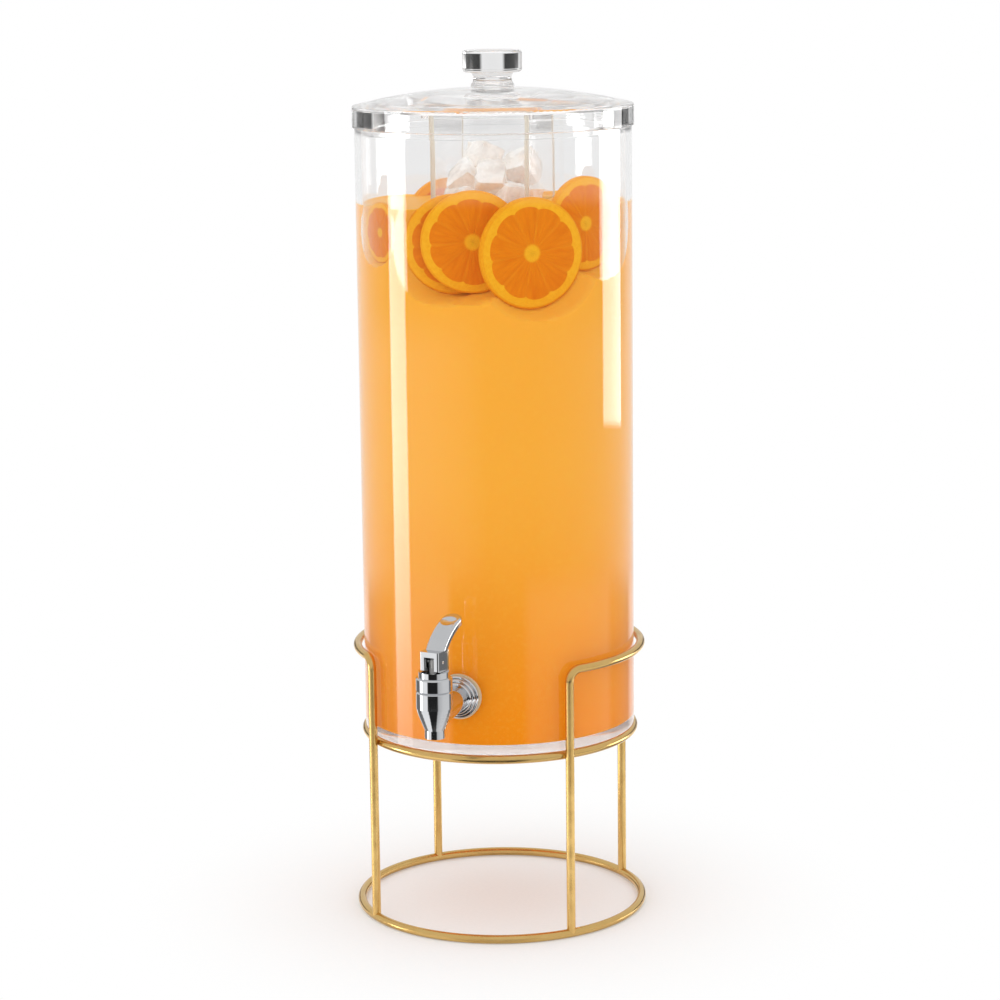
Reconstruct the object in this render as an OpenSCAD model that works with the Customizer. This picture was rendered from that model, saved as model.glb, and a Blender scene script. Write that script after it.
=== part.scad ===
// Round beverage dispenser: a clear tank on a bent-wire stand, with a square
// ice chamber inside, a domed lid with a turned knob and a pull-forward tap.
// Millimetres. The origin is on the floor under the tank's axis, and the tap faces -Y.

/* [Tank] */
// Outer diameter of the tank tube
tank_d = 203; // [190:1:230]
// Wall of the tank tube
tank_wall = 4.8; // [3:0.2:8]
// Height of the tank, base plate and tube together
tank_h = 448; // [340:1:560]
// Thickness of the base plate under the tube
tank_base_t = 6.4; // [5:0.1:12]
// Bevel round the lower edge of the base plate
base_bevel = 0.4; // [0.2:0.1:0.6]

/* [Wire stand] */
// Diameter of the stand's wire
wire_d = 6.4; // [5:0.2:9]
// Height of the support ring's top above the floor
deck_h = 140.7; // [100:0.1:180]
// Height of the hoop's centre line above the support ring's top
hoop_rise = 61.3; // [35:0.1:70]
// Clearance between the tank and the hoop
hoop_gap = 1.8; // [1:0.1:4]
// Centre-line radius of the bend from a front leg into the hoop
bend_r = 9; // [7:0.5:14]
// Angle of each leg from the front or back of the stand
leg_angle = 45; // [38:1:52]
// Depth to which the support ring is fused into each leg
weld_sink = 0.4; // [0.2:0.1:0.8]

/* [Lid] */
// Overhang of the lid past the tank on each side
lid_overhang = 1.6; // [0.5:0.1:5]
// Height of the lid's straight rim
lid_rim_h = 15.2; // [10:0.1:24]
// Rise of the dome above the rim
lid_dome_rise = 12.5; // [10:0.1:20]
// Rounding of the rim's top edge
lid_edge_r = 1.6; // [0.8:0.1:3]
// Depth of the step that drops into the tank
lid_plug_h = 5; // [3:0.5:10]
// Clearance between the step and the tank's wall
lid_plug_gap = 0.8; // [0.4:0.1:2]
// Width of the step's ring, left round the hollow underside
lid_plug_w = 8.3; // [6:0.1:12]
// Height of the hollow's flat ceiling above the rim's lower edge
lid_hollow_h = 11.9; // [9:0.1:12.6]
// Height of the square rib that steadies the ice chamber
lid_rib_h = 5; // [3.5:0.5:9]
// Thickness of the square rib
lid_rib_t = 3; // [2:0.1:4]

/* [Knob] */
// Diameter of the knob's cap
knob_d = 43.4; // [36:0.2:52]
// Height of the cap
knob_cap_h = 16; // [10:0.5:24]
// Rounding of the cap's edges
knob_edge_r = 2.2; // [1:0.1:4]
// Diameter of the neck at its waist
knob_neck_d = 28; // [22:0.2:32]
// Height of the neck between foot and cap
knob_neck_h = 9; // [6:0.2:14]
// Flare of the neck at each end, on the radius
knob_flare = 2; // [1:0.1:3]
// Thickness of the round-edged foot
knob_foot_h = 2; // [1.4:0.1:4]
// Diameter of the spigot bonded into the lid
knob_spigot_d = 12; // [8:0.5:16]
// Length of the spigot
knob_spigot_h = 8; // [5:0.5:9]

/* [Ice chamber] */
// Outer width of the square chamber
chamber_w = 73; // [60:0.5:90]
// Thickness of the four wall sheets
chamber_wall = 3; // [2:0.5:5]
// Thickness of the chamber's base plate
chamber_base_t = 4; // [3:0.5:8]
// Room between the chamber's top edge and the lid's ceiling
chamber_head_gap = 1.5; // [1:0.1:2.5]
// Clearance round the chamber in the lid's square rib
chamber_side_gap = 1.2; // [0.6:0.1:3]

/* [Tap body] */
// Height of the shank's axis above the tank's underside
tap_rise = 43.6; // [36:0.2:80]
// Distance of the tap's upright axis from the tank's wall
tap_reach = 58; // [48:0.5:75]
// Outer diameter of the spout
spout_d = 14.5; // [13.5:0.1:18]
// Straight length of the spout
spout_h = 6; // [4:0.5:12]
// Drop from the shank's axis to the spout's end
spout_drop = 15.6; // [15:0.1:22]
// Diameter of the outlet bore
outlet_d = 10; // [8:0.2:10.6]
// Outer diameter of the barrel
barrel_d = 26; // [25:0.2:32]
// Height above the shank's axis at which the barrel is full width
barrel_rise = 6.4; // [5:0.2:9]
// Height of the parting face above the shank's axis
body_rise = 18.4; // [16:0.2:24]
// Bevel on both sides of the parting line
parting_bevel = 0.9; // [0.4:0.1:1.4]
// Drop from the shank's axis to the foot of the valve seat
seat_drop = 6.6; // [6.2:0.1:7.4]
// Height and width of the 45 degree valve seat
seat_h = 3; // [2.4:0.1:3.2]
// Diameter of the arm between barrel and flange
arm_d = 19; // [18:0.5:22]
// Diameter of the threaded shank
shank_d = 16; // [14:0.5:17]
// Bore of the shank
shank_bore_d = 9; // [7:0.2:10]

/* [Tap bonnet] */
// Height of the bonnet from the parting face to its shoulder
bonnet_h = 10; // [8.5:0.2:14]
// Outer diameter of the collar on the bonnet
collar_d = 22; // [20:0.2:24]
// Height of the collar
collar_h = 4.4; // [4:0.1:6]
// Diameter of the bonnet's threaded spigot
bonnet_spigot_d = 20.4; // [19:0.1:20.6]
// Depth of the counterbore that takes the spigot
counterbore_h = 8; // [6.5:0.1:8.6]
// Thickness of the bonnet gasket
gasket_t = 1.5; // [1:0.1:2]
// Diameter of the spring's chamber
spring_bore_d = 14.4; // [14:0.1:15]
// Thickness of the bonnet's top wall, collar included
bonnet_top_t = 7; // [6.4:0.1:7.6]
// Section diameter of the stem's O-ring
o_ring_d = 2; // [1.6:0.1:2.2]

/* [Tap valve] */
// Diameter of the valve stem
stem_d = 7; // [6:0.1:7.2]
// Running clearance of the stem and of the pin, on the radius
running_gap = 0.05; // [0.03:0.01:0.08]
// Diameter of the stem's spring collar
stem_collar_d = 13.2; // [12.6:0.1:13.4]
// Thickness of the spring collar
stem_collar_t = 2; // [1.4:0.1:2.6]
// Diameter of the stem's lower tip
stem_tip_d = 5; // [3.6:0.1:5.4]
// Depth of the tip's socket in the seat cup
stem_tip_h = 6; // [4:0.1:7]
// Outer diameter of the silicone seat cup
cup_d = 12.8; // [12:0.1:13.2]
// Height of the seat cup above its cone
cup_h = 7; // [6:0.1:8]
// Wire of the return spring
spring_wire_d = 1; // [0.7:0.1:1.1]
// Mean diameter of the return spring
spring_d = 11; // [10.4:0.1:11.4]
// Turns of the return spring
spring_turns = 5; // [4:1:5]

/* [Tap lever] */
// Turn of the lever about the tap's upright axis, as it was left
lever_turn = -12; // [-40:1:40]
// Height of the lever's pin above the bonnet
pivot_rise = 6.8; // [6.4:0.1:8]
// Stem lift for each radian of lever travel
cam_lift = 3.2; // [2.6:0.1:4]
// Forward travel of the lever in degrees
lever_travel = 30; // [20:1:36]
// Width of the lever
lever_w = 15; // [13:0.2:18]
// Depth of the yoke block behind the pin
lever_back = 8; // [7:0.1:9]
// Height of the yoke block
block_h = 14.4; // [13.5:0.1:17]
// Rounding of the block's upright front edges
lever_edge_r = 1.2; // [0.6:0.1:2]
// Width of the ledge between the block's front face and the paddle
paddle_setback = 7.3; // [5.5:0.1:8.5]
// Slope of the paddle where it leaves the block, in degrees
paddle_slope = 55; // [50:1:60]
// Turn of the paddle's curve from the block to its round tip, in degrees
paddle_sweep = 36.5; // [30:0.5:40]
// Crown radius of the paddle's top face
paddle_crown_r = 50; // [44:1:60]
// Thickness of the paddle
paddle_t = 7; // [6:0.1:8]
// Rounding of the paddle's edges
paddle_edge_r = 2.2; // [1:0.1:2.8]
// Sphere radius of the thumb dish
dish_r = 14; // [12:0.5:18]
// Depth of the thumb dish
dish_h = 1.4; // [0.6:0.1:1.8]
// Turn of the thumb dish back from the middle of the round tip, in degrees
dish_turn = 5; // [2:0.5:8]
// Diameter of the lever's pin
pin_d = 2.4; // [2:0.1:3]
// Side clearance of the stem in the yoke's slot
slot_gap = 0.5; // [0.3:0.05:0.7]

/* [Tap mounting] */
// Diameter of the stepped chrome flange
flange_d = 31.6; // [28:0.2:36]
// Thickness of the flange
flange_t = 7; // [5:0.2:9]
// Rounding of the flange's steps
flange_edge_r = 1.4; // [0.6:0.1:1.6]
// Width by which the outer washer shows round the flange
washer_show = 0.8; // [0.4:0.1:1.6]
// Least thickness of each sealing washer
washer_t = 2.2; // [1.5:0.1:3.5]
// Diameter of the inner washer
inner_washer_d = 27; // [25:0.5:30]
// Width of the nut across its flats
nut_af = 24; // [22:0.2:26]
// Height of the nut
nut_h = 8; // [6:0.2:10]
// Length of thread left past the nut
shank_end = 2; // [1:0.2:4]
// Clearance of the shank in the tank's hole, on the radius
hole_gap = 0.6; // [0.3:0.1:1.2]

/* [Clearances] */
// Gap left where one loose piece rests on another
seat_gap = 0.2; // [0.1:0.05:0.3]
// Clearance of bonded and screwed pieces, on the radius
fit_gap = 0.05; // [0.03:0.01:0.1]

/* [Hidden] */
$fn = 96;

// Colours of the finished surfaces
acrylic = [0.86, 0.93, 0.95, 0.35];
gold = "goldenrod";
chrome = "silver";
silicone = "wheat";
spring_steel = "lightgray";

// A cut runs this far past the faces that it opens
cut_past = 1;
// Facets of the tank's large curves and of the dome's shallow one
tank_fn = 240;
dome_fn = 720;

// Tank
tank_r = tank_d / 2;
tank_ri = tank_r - tank_wall;
tank_z = deck_h + seat_gap;
floor_z = tank_z + tank_base_t;
rim_z = tank_z + tank_h;

// Wire stand: the front legs lie on the tangents at the ends of the hoop
wire_r = wire_d / 2;
hoop_r = tank_r + hoop_gap + wire_r;
hoop_z = deck_h + hoop_rise;
leg_r = norm([hoop_r, bend_r]);
support_r = leg_r - wire_d + weld_sink;
bend_angle = atan(bend_r / hoop_r);
hoop_start = leg_angle - 90 + bend_angle;
hoop_sweep = 360 - 2 * (leg_angle + bend_angle);

// Lid: a spherical dome over a straight rim, with a rounded edge between
lid_r = tank_r + lid_overhang;
lid_z = rim_z + seat_gap;
plug_r = tank_ri - lid_plug_gap;
dome_r = (lid_r * lid_r + lid_dome_rise * lid_dome_rise) / (2 * lid_dome_rise);
dome_z = lid_z + lid_rim_h + lid_dome_rise - dome_r;
edge_z = dome_z + sqrt(pow(dome_r - lid_edge_r, 2) - pow(lid_r - lid_edge_r, 2));
edge_tangent = (lid_r - lid_edge_r) * dome_r / (dome_r - lid_edge_r);
hollow_r = plug_r - lid_plug_w;
hollow_z = lid_z + lid_hollow_h;
rib_inner_w = chamber_w + 2 * chamber_side_gap;

// Knob: its foot stands on a flat spot on the dome
knob_r = knob_d / 2;
neck_r = knob_neck_d / 2;
foot_r = neck_r + knob_flare;
knob_z = dome_z + sqrt(dome_r * dome_r - foot_r * foot_r);
neck_z = knob_z + knob_foot_h;
cap_z = neck_z + knob_neck_h;
knob_top_z = cap_z + knob_cap_h;
waist_r = (pow(knob_neck_h / 2, 2) + knob_flare * knob_flare) / (2 * knob_flare);

// Ice chamber: it stands on the tank's floor and ends inside the lid's square rib
chamber_z = floor_z + seat_gap;
chamber_wall_z = chamber_z + chamber_base_t;
chamber_wall_h = hollow_z - chamber_head_gap - chamber_wall_z;

// Tap: heights are above the shank's axis
tap_y = -(tank_r + tap_reach);
tap_z = tank_z + tap_rise;
spout_r = spout_d / 2;
barrel_r = barrel_d / 2;
spout_top = spout_h - spout_drop;
shoulder_h = barrel_rise - spout_top;
outlet_r = outlet_d / 2;
valve_bore_r = outlet_r + seat_h;
seat_top = seat_h - seat_drop;
counterbore_z = body_rise - counterbore_h;
spigot_r = bonnet_spigot_d / 2;
spigot_z = counterbore_z + gasket_t;
bonnet_top = body_rise + bonnet_h;
collar_top = bonnet_top + collar_h;
spring_ceiling = collar_top - bonnet_top_t;

// Valve
stem_r = stem_d / 2;
stem_bore_r = stem_r + running_gap;
o_ring_hole_r = stem_bore_r + fit_gap;
o_ring_mid_r = o_ring_hole_r + o_ring_d / 2;
o_ring_z = (spring_ceiling + collar_top) / 2;
cup_r = cup_d / 2;
cup_cone_z = seat_gap - seat_drop + cup_r - outlet_r;
cup_foot_r = outlet_r - 2 * seat_gap;
cup_foot_z = cup_cone_z - (cup_r - cup_foot_r);
cup_top = cup_cone_z + cup_h;
stem_tip_z = cup_top - stem_tip_h + seat_gap;
stem_collar_z = spigot_z + stem_collar_t;
spring_z = stem_collar_z + stem_collar_t;

// Lever: its heel is an involute, so that equal travel gives equal lift
pivot_z = collar_top + pivot_rise;
heel_h = pivot_rise - seat_gap;
lever_front = -heel(lever_travel)[0];
block_top = block_h - heel_h;
slot_r = stem_r + slot_gap;
paddle_root = [paddle_setback - lever_front, block_top];
crown_centre = paddle_root - on_circle(paddle_crown_r, paddle_slope);
tip_slope = paddle_slope - paddle_sweep;
tip_middle = crown_centre + on_circle(paddle_crown_r, tip_slope);
dish_centre = crown_centre + on_circle(paddle_crown_r + dish_r - dish_h, tip_slope + dish_turn);

// Tap mounting: distances from the tank's axis, measured along -Y
washer_r = flange_d / 2 + washer_show;
washer_face = tank_r + washer_t;
flange_face = washer_face + flange_t;
inner_washer_r = inner_washer_d / 2;
nut_face = sqrt(tank_ri * tank_ri - inner_washer_r * inner_washer_r) - washer_t;
nut_end = nut_face - nut_h;
shank_r = shank_d / 2;
shank_tip = nut_end - shank_end;
// The arm and its bore end just short of the tap's upright axis
arm_end = -tap_y - outlet_r / 2;

// Point on the lever's heel that meets the bonnet at a given angle, from the pin
function heel(angle) =
    let (h = heel_h + cam_lift * angle * PI / 180)
    [-h * sin(angle) - cam_lift * cos(angle), cam_lift * sin(angle) - h * cos(angle)];

// Point of the paddle's curve at which it has a given slope, from the curve's centre
function on_circle(radius, slope) = radius * [-sin(slope), cos(slope)];

// A ring of wire with its centre line at height z
module wire_ring(radius, z) {
    translate([0, 0, z])
        rotate_extrude()
            translate([radius, 0])
                circle(d = wire_d);
}

// A straight upright wire between two heights
module wire_post(from_z, to_z) {
    translate([0, 0, from_z])
        cylinder(d = wire_d, h = to_z - from_z);
}

// The right front leg, bent over at its top to meet the end of the hoop
module bent_leg() {
    rotate(hoop_start) {
        translate([hoop_r, 0, hoop_z - bend_r])
            rotate([0, 90, 0])
                rotate(180)
                    rotate_extrude(angle = 90)
                        translate([bend_r, 0])
                            circle(d = wire_d);
        translate([hoop_r, -bend_r, 0])
            wire_post(wire_r, hoop_z - bend_r);
    }
}

// A straight leg at the back, run into the hoop and the base ring
module rear_leg(side) {
    rotate(90 - side * leg_angle)
        translate([leg_r, 0, 0])
            wire_post(wire_r, hoop_z);
}

// Places children on the tap's upright axis, at the height of its shank
module at_tap() {
    translate([0, tap_y, tap_z])
        children();
}

// Places children on the lever's pin, turned as the lever is
module at_pin() {
    at_tap()
        rotate(lever_turn)
            translate([0, 0, pivot_z])
                children();
}

// A cylinder on the shank's axis between two distances from the tank's axis
module shank_cylinder(radius, from, to) {
    translate([0, -from, tap_z])
        rotate([90, 0, 0])
            cylinder(r = radius, h = to - from);
}

// A wall sheet of the ice chamber with its outer face at -Y, turned to its side
module chamber_sheet(width, turn) {
    rotate(turn)
        translate([-width / 2, -chamber_w / 2, chamber_wall_z])
            cube([width, chamber_wall, chamber_wall_h]);
}

// A closed tube of triangles through rings of points
module ring_tube(rings, sides) {
    count = len(rings);
    last = (count - 1) * sides;
    polyhedron(
        points = [for (ring = rings, p = ring) p],
        faces = concat(
            [for (i = [1 : sides - 2]) [0, i, i + 1]],
            [for (k = [0 : count - 2], i = [0 : sides - 1])
                [k * sides + i, (k + 1) * sides + i, (k + 1) * sides + (i + 1) % sides]],
            [for (k = [0 : count - 2], i = [0 : sides - 1])
                [k * sides + i, (k + 1) * sides + (i + 1) % sides, k * sides + (i + 1) % sides]],
            [for (i = [1 : sides - 2]) [last, last + i + 1, last + i]]
        )
    );
}

module base_ring() {
    color(gold)
        wire_ring(leg_r, wire_r);
}

module support_ring() {
    color(gold)
        wire_ring(support_r, deck_h - wire_r);
}

// An arc round the back of the tank, open at the front for the tap
module hoop() {
    color(gold)
        rotate(hoop_start)
            translate([0, 0, hoop_z])
                rotate_extrude(angle = hoop_sweep)
                    translate([hoop_r, 0])
                        circle(d = wire_d);
}

module front_leg_left() {
    color(gold)
        mirror([1, 0, 0])
            bent_leg();
}

module front_leg_right() {
    color(gold)
        bent_leg();
}

module rear_leg_left() {
    color(gold)
        rear_leg(-1);
}

module rear_leg_right() {
    color(gold)
        rear_leg(1);
}

module tank_tube() {
    color(acrylic)
        difference() {
            translate([0, 0, floor_z])
                cylinder(r = tank_r, h = rim_z - floor_z, $fn = tank_fn);
            translate([0, 0, floor_z - cut_past])
                cylinder(r = tank_ri, h = rim_z - floor_z + 2 * cut_past, $fn = tank_fn);
            shank_cylinder(shank_r + hole_gap, nut_face, washer_face);
        }
}

module tank_base() {
    color(acrylic)
        translate([0, 0, tank_z]) {
            cylinder(r1 = tank_r - base_bevel, r2 = tank_r, h = base_bevel, $fn = tank_fn);
            translate([0, 0, base_bevel])
                cylinder(r = tank_r, h = tank_base_t - base_bevel, $fn = tank_fn);
        }
}

// Its back is hollowed to the curve of the tank
module outer_washer() {
    color(silicone)
        difference() {
            shank_cylinder(washer_r, nut_face, washer_face);
            translate([0, 0, tap_z - washer_r - cut_past])
                cylinder(r = tank_r + fit_gap, h = 2 * (washer_r + cut_past), $fn = tank_fn);
            shank_cylinder(shank_r + fit_gap, nut_end, flange_face);
        }
}

// Its outer face is rounded to the curve of the tank
module inner_washer() {
    color(silicone)
        difference() {
            intersection() {
                shank_cylinder(inner_washer_r, nut_face, tank_r);
                translate([0, 0, tap_z - inner_washer_r - cut_past])
                    cylinder(r = tank_ri - fit_gap, h = 2 * (inner_washer_r + cut_past), $fn = tank_fn);
            }
            shank_cylinder(shank_r + fit_gap, nut_end, flange_face);
        }
}

// Outline of three round-edged steps that rise from the washer to the tap's arm
module flange_outline() {
    steps = 3;
    step_t = flange_t / steps;
    step_r = (flange_d / 2 - arm_d / 2) / steps;
    for (i = [0 : steps - 1]) {
        edge = flange_d / 2 - i * step_r - flange_edge_r;
        top = (i + 1) * step_t;
        square([edge, top]);
        square([edge + flange_edge_r, top - flange_edge_r]);
        translate([edge, top - flange_edge_r])
            intersection() {
                circle(r = flange_edge_r);
                square(flange_edge_r);
            }
    }
}

module tap_flange() {
    color(chrome)
        difference() {
            translate([0, -washer_face, tap_z])
                rotate([90, 0, 0])
                    rotate_extrude()
                        flange_outline();
            shank_cylinder(shank_r + fit_gap, nut_end, flange_face + cut_past);
        }
}

module shank_nut() {
    hex_r = nut_af / 2 / cos(30);
    color(silicone)
        difference() {
            translate([0, -nut_end, tap_z])
                rotate([90, 0, 0])
                    cylinder(r = hex_r, h = nut_h, $fn = 6);
            shank_cylinder(shank_r + fit_gap, shank_tip, flange_face);
        }
}

// Outline of the barrel, the tapered shoulder and the spout
module body_outline() {
    shoulder_steps = 6;
    // Above 1 the taper starts off steeply and flattens out towards the spout
    shoulder_power = 1.25;
    polygon(concat(
        [[0, -spout_drop], [spout_r, -spout_drop]],
        [for (i = [shoulder_steps : -1 : 0])
            let (share = i / shoulder_steps)
            [barrel_r - (barrel_r - spout_r) * pow(share, shoulder_power), barrel_rise - shoulder_h * share]],
        [[barrel_r, body_rise - parting_bevel], [barrel_r - parting_bevel, body_rise], [0, body_rise]]
    ));
}

// Outline of everything that is bored out on the tap's upright axis
module body_bore_outline() {
    polygon([
        [0, -spout_drop - cut_past],
        [outlet_r, -spout_drop - cut_past],
        [outlet_r, -seat_drop],
        [valve_bore_r, seat_top],
        [valve_bore_r, counterbore_z],
        [spigot_r + fit_gap, counterbore_z],
        [spigot_r + fit_gap, body_rise + cut_past],
        [0, body_rise + cut_past]
    ]);
}

// The barrel with its spout, and the arm and threaded shank behind it
module tap_body() {
    color(chrome)
        difference() {
            union() {
                at_tap()
                    rotate_extrude()
                        body_outline();
                shank_cylinder(arm_d / 2, flange_face, arm_end);
                shank_cylinder(shank_r, shank_tip, flange_face);
            }
            at_tap()
                rotate_extrude()
                    body_bore_outline();
            shank_cylinder(shank_bore_d / 2, shank_tip - cut_past, arm_end);
        }
}

module bonnet_gasket() {
    color(silicone)
        at_tap()
            translate([0, 0, counterbore_z])
                difference() {
                    cylinder(r = spigot_r, h = gasket_t);
                    translate([0, 0, -cut_past])
                        cylinder(r = valve_bore_r, h = gasket_t + 2 * cut_past);
                }
}

// The upper half of the barrel, its collar, and the spigot that screws into the body
module tap_bonnet() {
    color(chrome)
        at_tap()
            rotate_extrude()
                difference() {
                    polygon([
                        [stem_bore_r, spigot_z],
                        [spigot_r, spigot_z],
                        [spigot_r, body_rise],
                        [barrel_r - parting_bevel, body_rise],
                        [barrel_r, body_rise + parting_bevel],
                        [barrel_r, bonnet_top - parting_bevel],
                        [barrel_r - parting_bevel, bonnet_top],
                        [collar_d / 2, bonnet_top],
                        [collar_d / 2, collar_top],
                        [stem_bore_r, collar_top]
                    ]);
                    translate([0, spigot_z - cut_past])
                        square([spring_bore_d / 2, spring_ceiling - spigot_z + cut_past]);
                    translate([0, o_ring_z - o_ring_d / 2 - fit_gap])
                        square([o_ring_hole_r + o_ring_d + fit_gap, o_ring_d + 2 * fit_gap]);
                }
}

module stem_o_ring() {
    color(silicone)
        at_tap()
            translate([0, 0, o_ring_z])
                rotate_extrude()
                    translate([o_ring_mid_r, 0])
                        circle(d = o_ring_d);
}

// An open coil between the stem's collar and the top of its chamber
module tap_spring() {
    sides = 6;
    curl_rings = 8;
    rise = spring_ceiling - spring_z - spring_wire_d;
    steps = spring_turns * curl_rings;
    turns_gap = rise / spring_turns - spring_wire_d;
    echo(least_gap_between_spring_turns = turns_gap);
    color(spring_steel)
        at_tap()
            translate([0, 0, spring_z + spring_wire_d / 2])
                ring_tube([
                    for (k = [0 : steps])
                        let (turn = 360 * k / curl_rings, z = rise * k / steps)
                        [for (i = [0 : sides - 1])
                            let (r = spring_d / 2 + spring_wire_d / 2 * cos(360 * i / sides))
                            [r * cos(turn), r * sin(turn), z + spring_wire_d / 2 * sin(360 * i / sides)]]
                ], sides);
}

module seat_cup() {
    tip_hole_r = stem_tip_d / 2 + fit_gap;
    color(silicone)
        at_tap()
            rotate_extrude()
                polygon([
                    [0, cup_foot_z],
                    [cup_foot_r, cup_foot_z],
                    [cup_r, cup_cone_z],
                    [cup_r, cup_top],
                    [tip_hole_r, cup_top],
                    [tip_hole_r, cup_top - stem_tip_h],
                    [0, cup_top - stem_tip_h]
                ]);
}

// A round rod with a tip, a spring collar and a domed head drilled for the pin
module valve_stem() {
    color(chrome)
        at_pin()
            difference() {
                union() {
                    translate([0, 0, stem_tip_z - pivot_z])
                        cylinder(d = stem_tip_d, h = pivot_z - stem_tip_z);
                    translate([0, 0, cup_top + seat_gap - pivot_z])
                        cylinder(r = stem_r, h = pivot_z - cup_top - seat_gap);
                    translate([0, 0, stem_collar_z - pivot_z])
                        cylinder(d = stem_collar_d, h = stem_collar_t);
                    sphere(r = stem_r);
                }
                rotate([0, 90, 0])
                    cylinder(d = pin_d + 2 * running_gap, h = stem_d + 2 * cut_past, center = true);
            }
}

// Side view of the yoke block, with the pin at the origin and the tank to the right
module block_side() {
    heel_steps = 12;
    polygon(concat(
        [for (i = [0 : heel_steps]) heel(lever_travel * i / heel_steps)],
        [[-lever_front, block_top], [lever_back, block_top], [lever_back, -heel_h]]
    ));
}

// Plan of the yoke block, with soft front edges
module block_plan() {
    edge = lever_w / 2 - lever_edge_r;
    translate([-lever_w / 2, lever_edge_r - lever_front])
        square([lever_w, lever_front + lever_back - lever_edge_r]);
    translate([-edge, -lever_front])
        square([2 * edge, lever_edge_r + cut_past]);
    for (side = [-1, 1])
        translate([side * edge, lever_edge_r - lever_front])
            circle(r = lever_edge_r);
}

// Section of the paddle, drawn smaller by an inset all round: its thickness is along X,
// up to the origin, and its width along Y
module paddle_section(inset) {
    across = lever_w / 2 - paddle_edge_r;
    translate([inset - paddle_t, -across])
        square([paddle_t - 2 * inset, 2 * across]);
    translate([paddle_edge_r - paddle_t, inset - lever_w / 2])
        square([paddle_t - 2 * paddle_edge_r, lever_w - 2 * inset]);
    for (x = [paddle_edge_r - paddle_t, -paddle_edge_r], y = [-across, across])
        translate([x, y])
            circle(r = paddle_edge_r - inset);
}

// A soft-edged bar that curves up and back out of the block, with a round tip
module paddle() {
    // The bar starts this many degrees inside the block
    bury = 4;
    // The tip starts this far inside the bar, and is that bit smaller so as to end within it
    tip_sink = 0.4;
    tip_inset = 0.05;
    translate([0, crown_centre[0], crown_centre[1]])
        rotate([90, 0, 90])
            rotate(90 + tip_slope)
                rotate_extrude(angle = paddle_sweep + bury)
                    translate([paddle_crown_r, 0])
                        paddle_section(0);
    translate([0, tip_middle[0], tip_middle[1]])
        rotate([tip_slope, 0, 0])
            translate([0, -tip_sink, 0])
                rotate_extrude(angle = 180)
                    intersection() {
                        rotate(90)
                            paddle_section(tip_inset);
                        translate([0, -paddle_t])
                            square([lever_w / 2, paddle_t]);
                    }
}

// The slot in which the stem's head swings, open at the front and underneath
module lever_slot() {
    reach = lever_front + cut_past;
    drop = heel_h + cut_past;
    translate([-slot_r, -reach, -drop])
        cube([2 * slot_r, reach + slot_r, drop]);
    translate([-slot_r, -reach, -cut_past])
        cube([2 * slot_r, reach, cut_past + slot_r]);
    rotate([0, 90, 0])
        cylinder(r = slot_r, h = 2 * slot_r, center = true);
}

// A yoke block with an involute heel, and a thumb paddle swept up and back
module tap_lever() {
    color(chrome)
        at_pin()
            difference() {
                union() {
                    intersection() {
                        rotate([90, 0, 90])
                            linear_extrude(lever_w, center = true)
                                block_side();
                        translate([0, 0, -heel_h - cut_past])
                            linear_extrude(block_h + 2 * cut_past)
                                block_plan();
                    }
                    paddle();
                }
                lever_slot();
                rotate([0, 90, 0])
                    cylinder(d = pin_d, h = lever_w + 2 * cut_past, center = true);
                translate([0, dish_centre[0], dish_centre[1]])
                    sphere(r = dish_r);
            }
}

module lever_pin() {
    color(chrome)
        at_pin()
            rotate([0, 90, 0])
                cylinder(d = pin_d, h = lever_w - 2 * fit_gap, center = true);
}

module chamber_front() {
    color(acrylic)
        chamber_sheet(chamber_w, 0);
}

module chamber_rear() {
    color(acrylic)
        chamber_sheet(chamber_w, 180);
}

module chamber_left() {
    color(acrylic)
        chamber_sheet(chamber_w - 2 * chamber_wall, 270);
}

module chamber_right() {
    color(acrylic)
        chamber_sheet(chamber_w - 2 * chamber_wall, 90);
}

module chamber_base() {
    color(acrylic)
        translate([-chamber_w / 2, -chamber_w / 2, chamber_z])
            cube([chamber_w, chamber_w, chamber_base_t]);
}

// Outline of the rim, the rounded edge, the dome and the step into the tank
module lid_outline() {
    translate([0, lid_z - lid_plug_h])
        square([plug_r, lid_plug_h + lid_rim_h]);
    translate([0, lid_z])
        square([lid_r, edge_z - lid_z]);
    translate([lid_r - lid_edge_r, edge_z])
        circle(r = lid_edge_r);
    intersection() {
        translate([0, dome_z])
            circle(r = dome_r, $fn = dome_fn);
        translate([0, lid_z])
            square([edge_tangent, lid_rim_h + lid_dome_rise]);
    }
}

// A square frame under the lid's ceiling, run into it
module lid_rib() {
    outer_w = rib_inner_w + 2 * lid_rib_t;
    translate([0, 0, hollow_z - lid_rib_h])
        linear_extrude(lid_rib_h + cut_past)
            difference() {
                square(outer_w, center = true);
                square(rib_inner_w, center = true);
            }
}

// A domed plate with a deep ring round its hollow underside
module lid() {
    color(acrylic)
        union() {
            difference() {
                rotate_extrude()
                    lid_outline();
                translate([0, 0, lid_z - lid_plug_h - cut_past])
                    cylinder(r = hollow_r, h = lid_plug_h + lid_hollow_h + cut_past, $fn = tank_fn);
                translate([0, 0, knob_z])
                    cylinder(r = foot_r + fit_gap, h = lid_dome_rise);
                translate([0, 0, knob_z - knob_spigot_h - fit_gap])
                    cylinder(d = knob_spigot_d + 2 * fit_gap, h = knob_spigot_h + cut_past);
            }
            lid_rib();
        }
}

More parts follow.
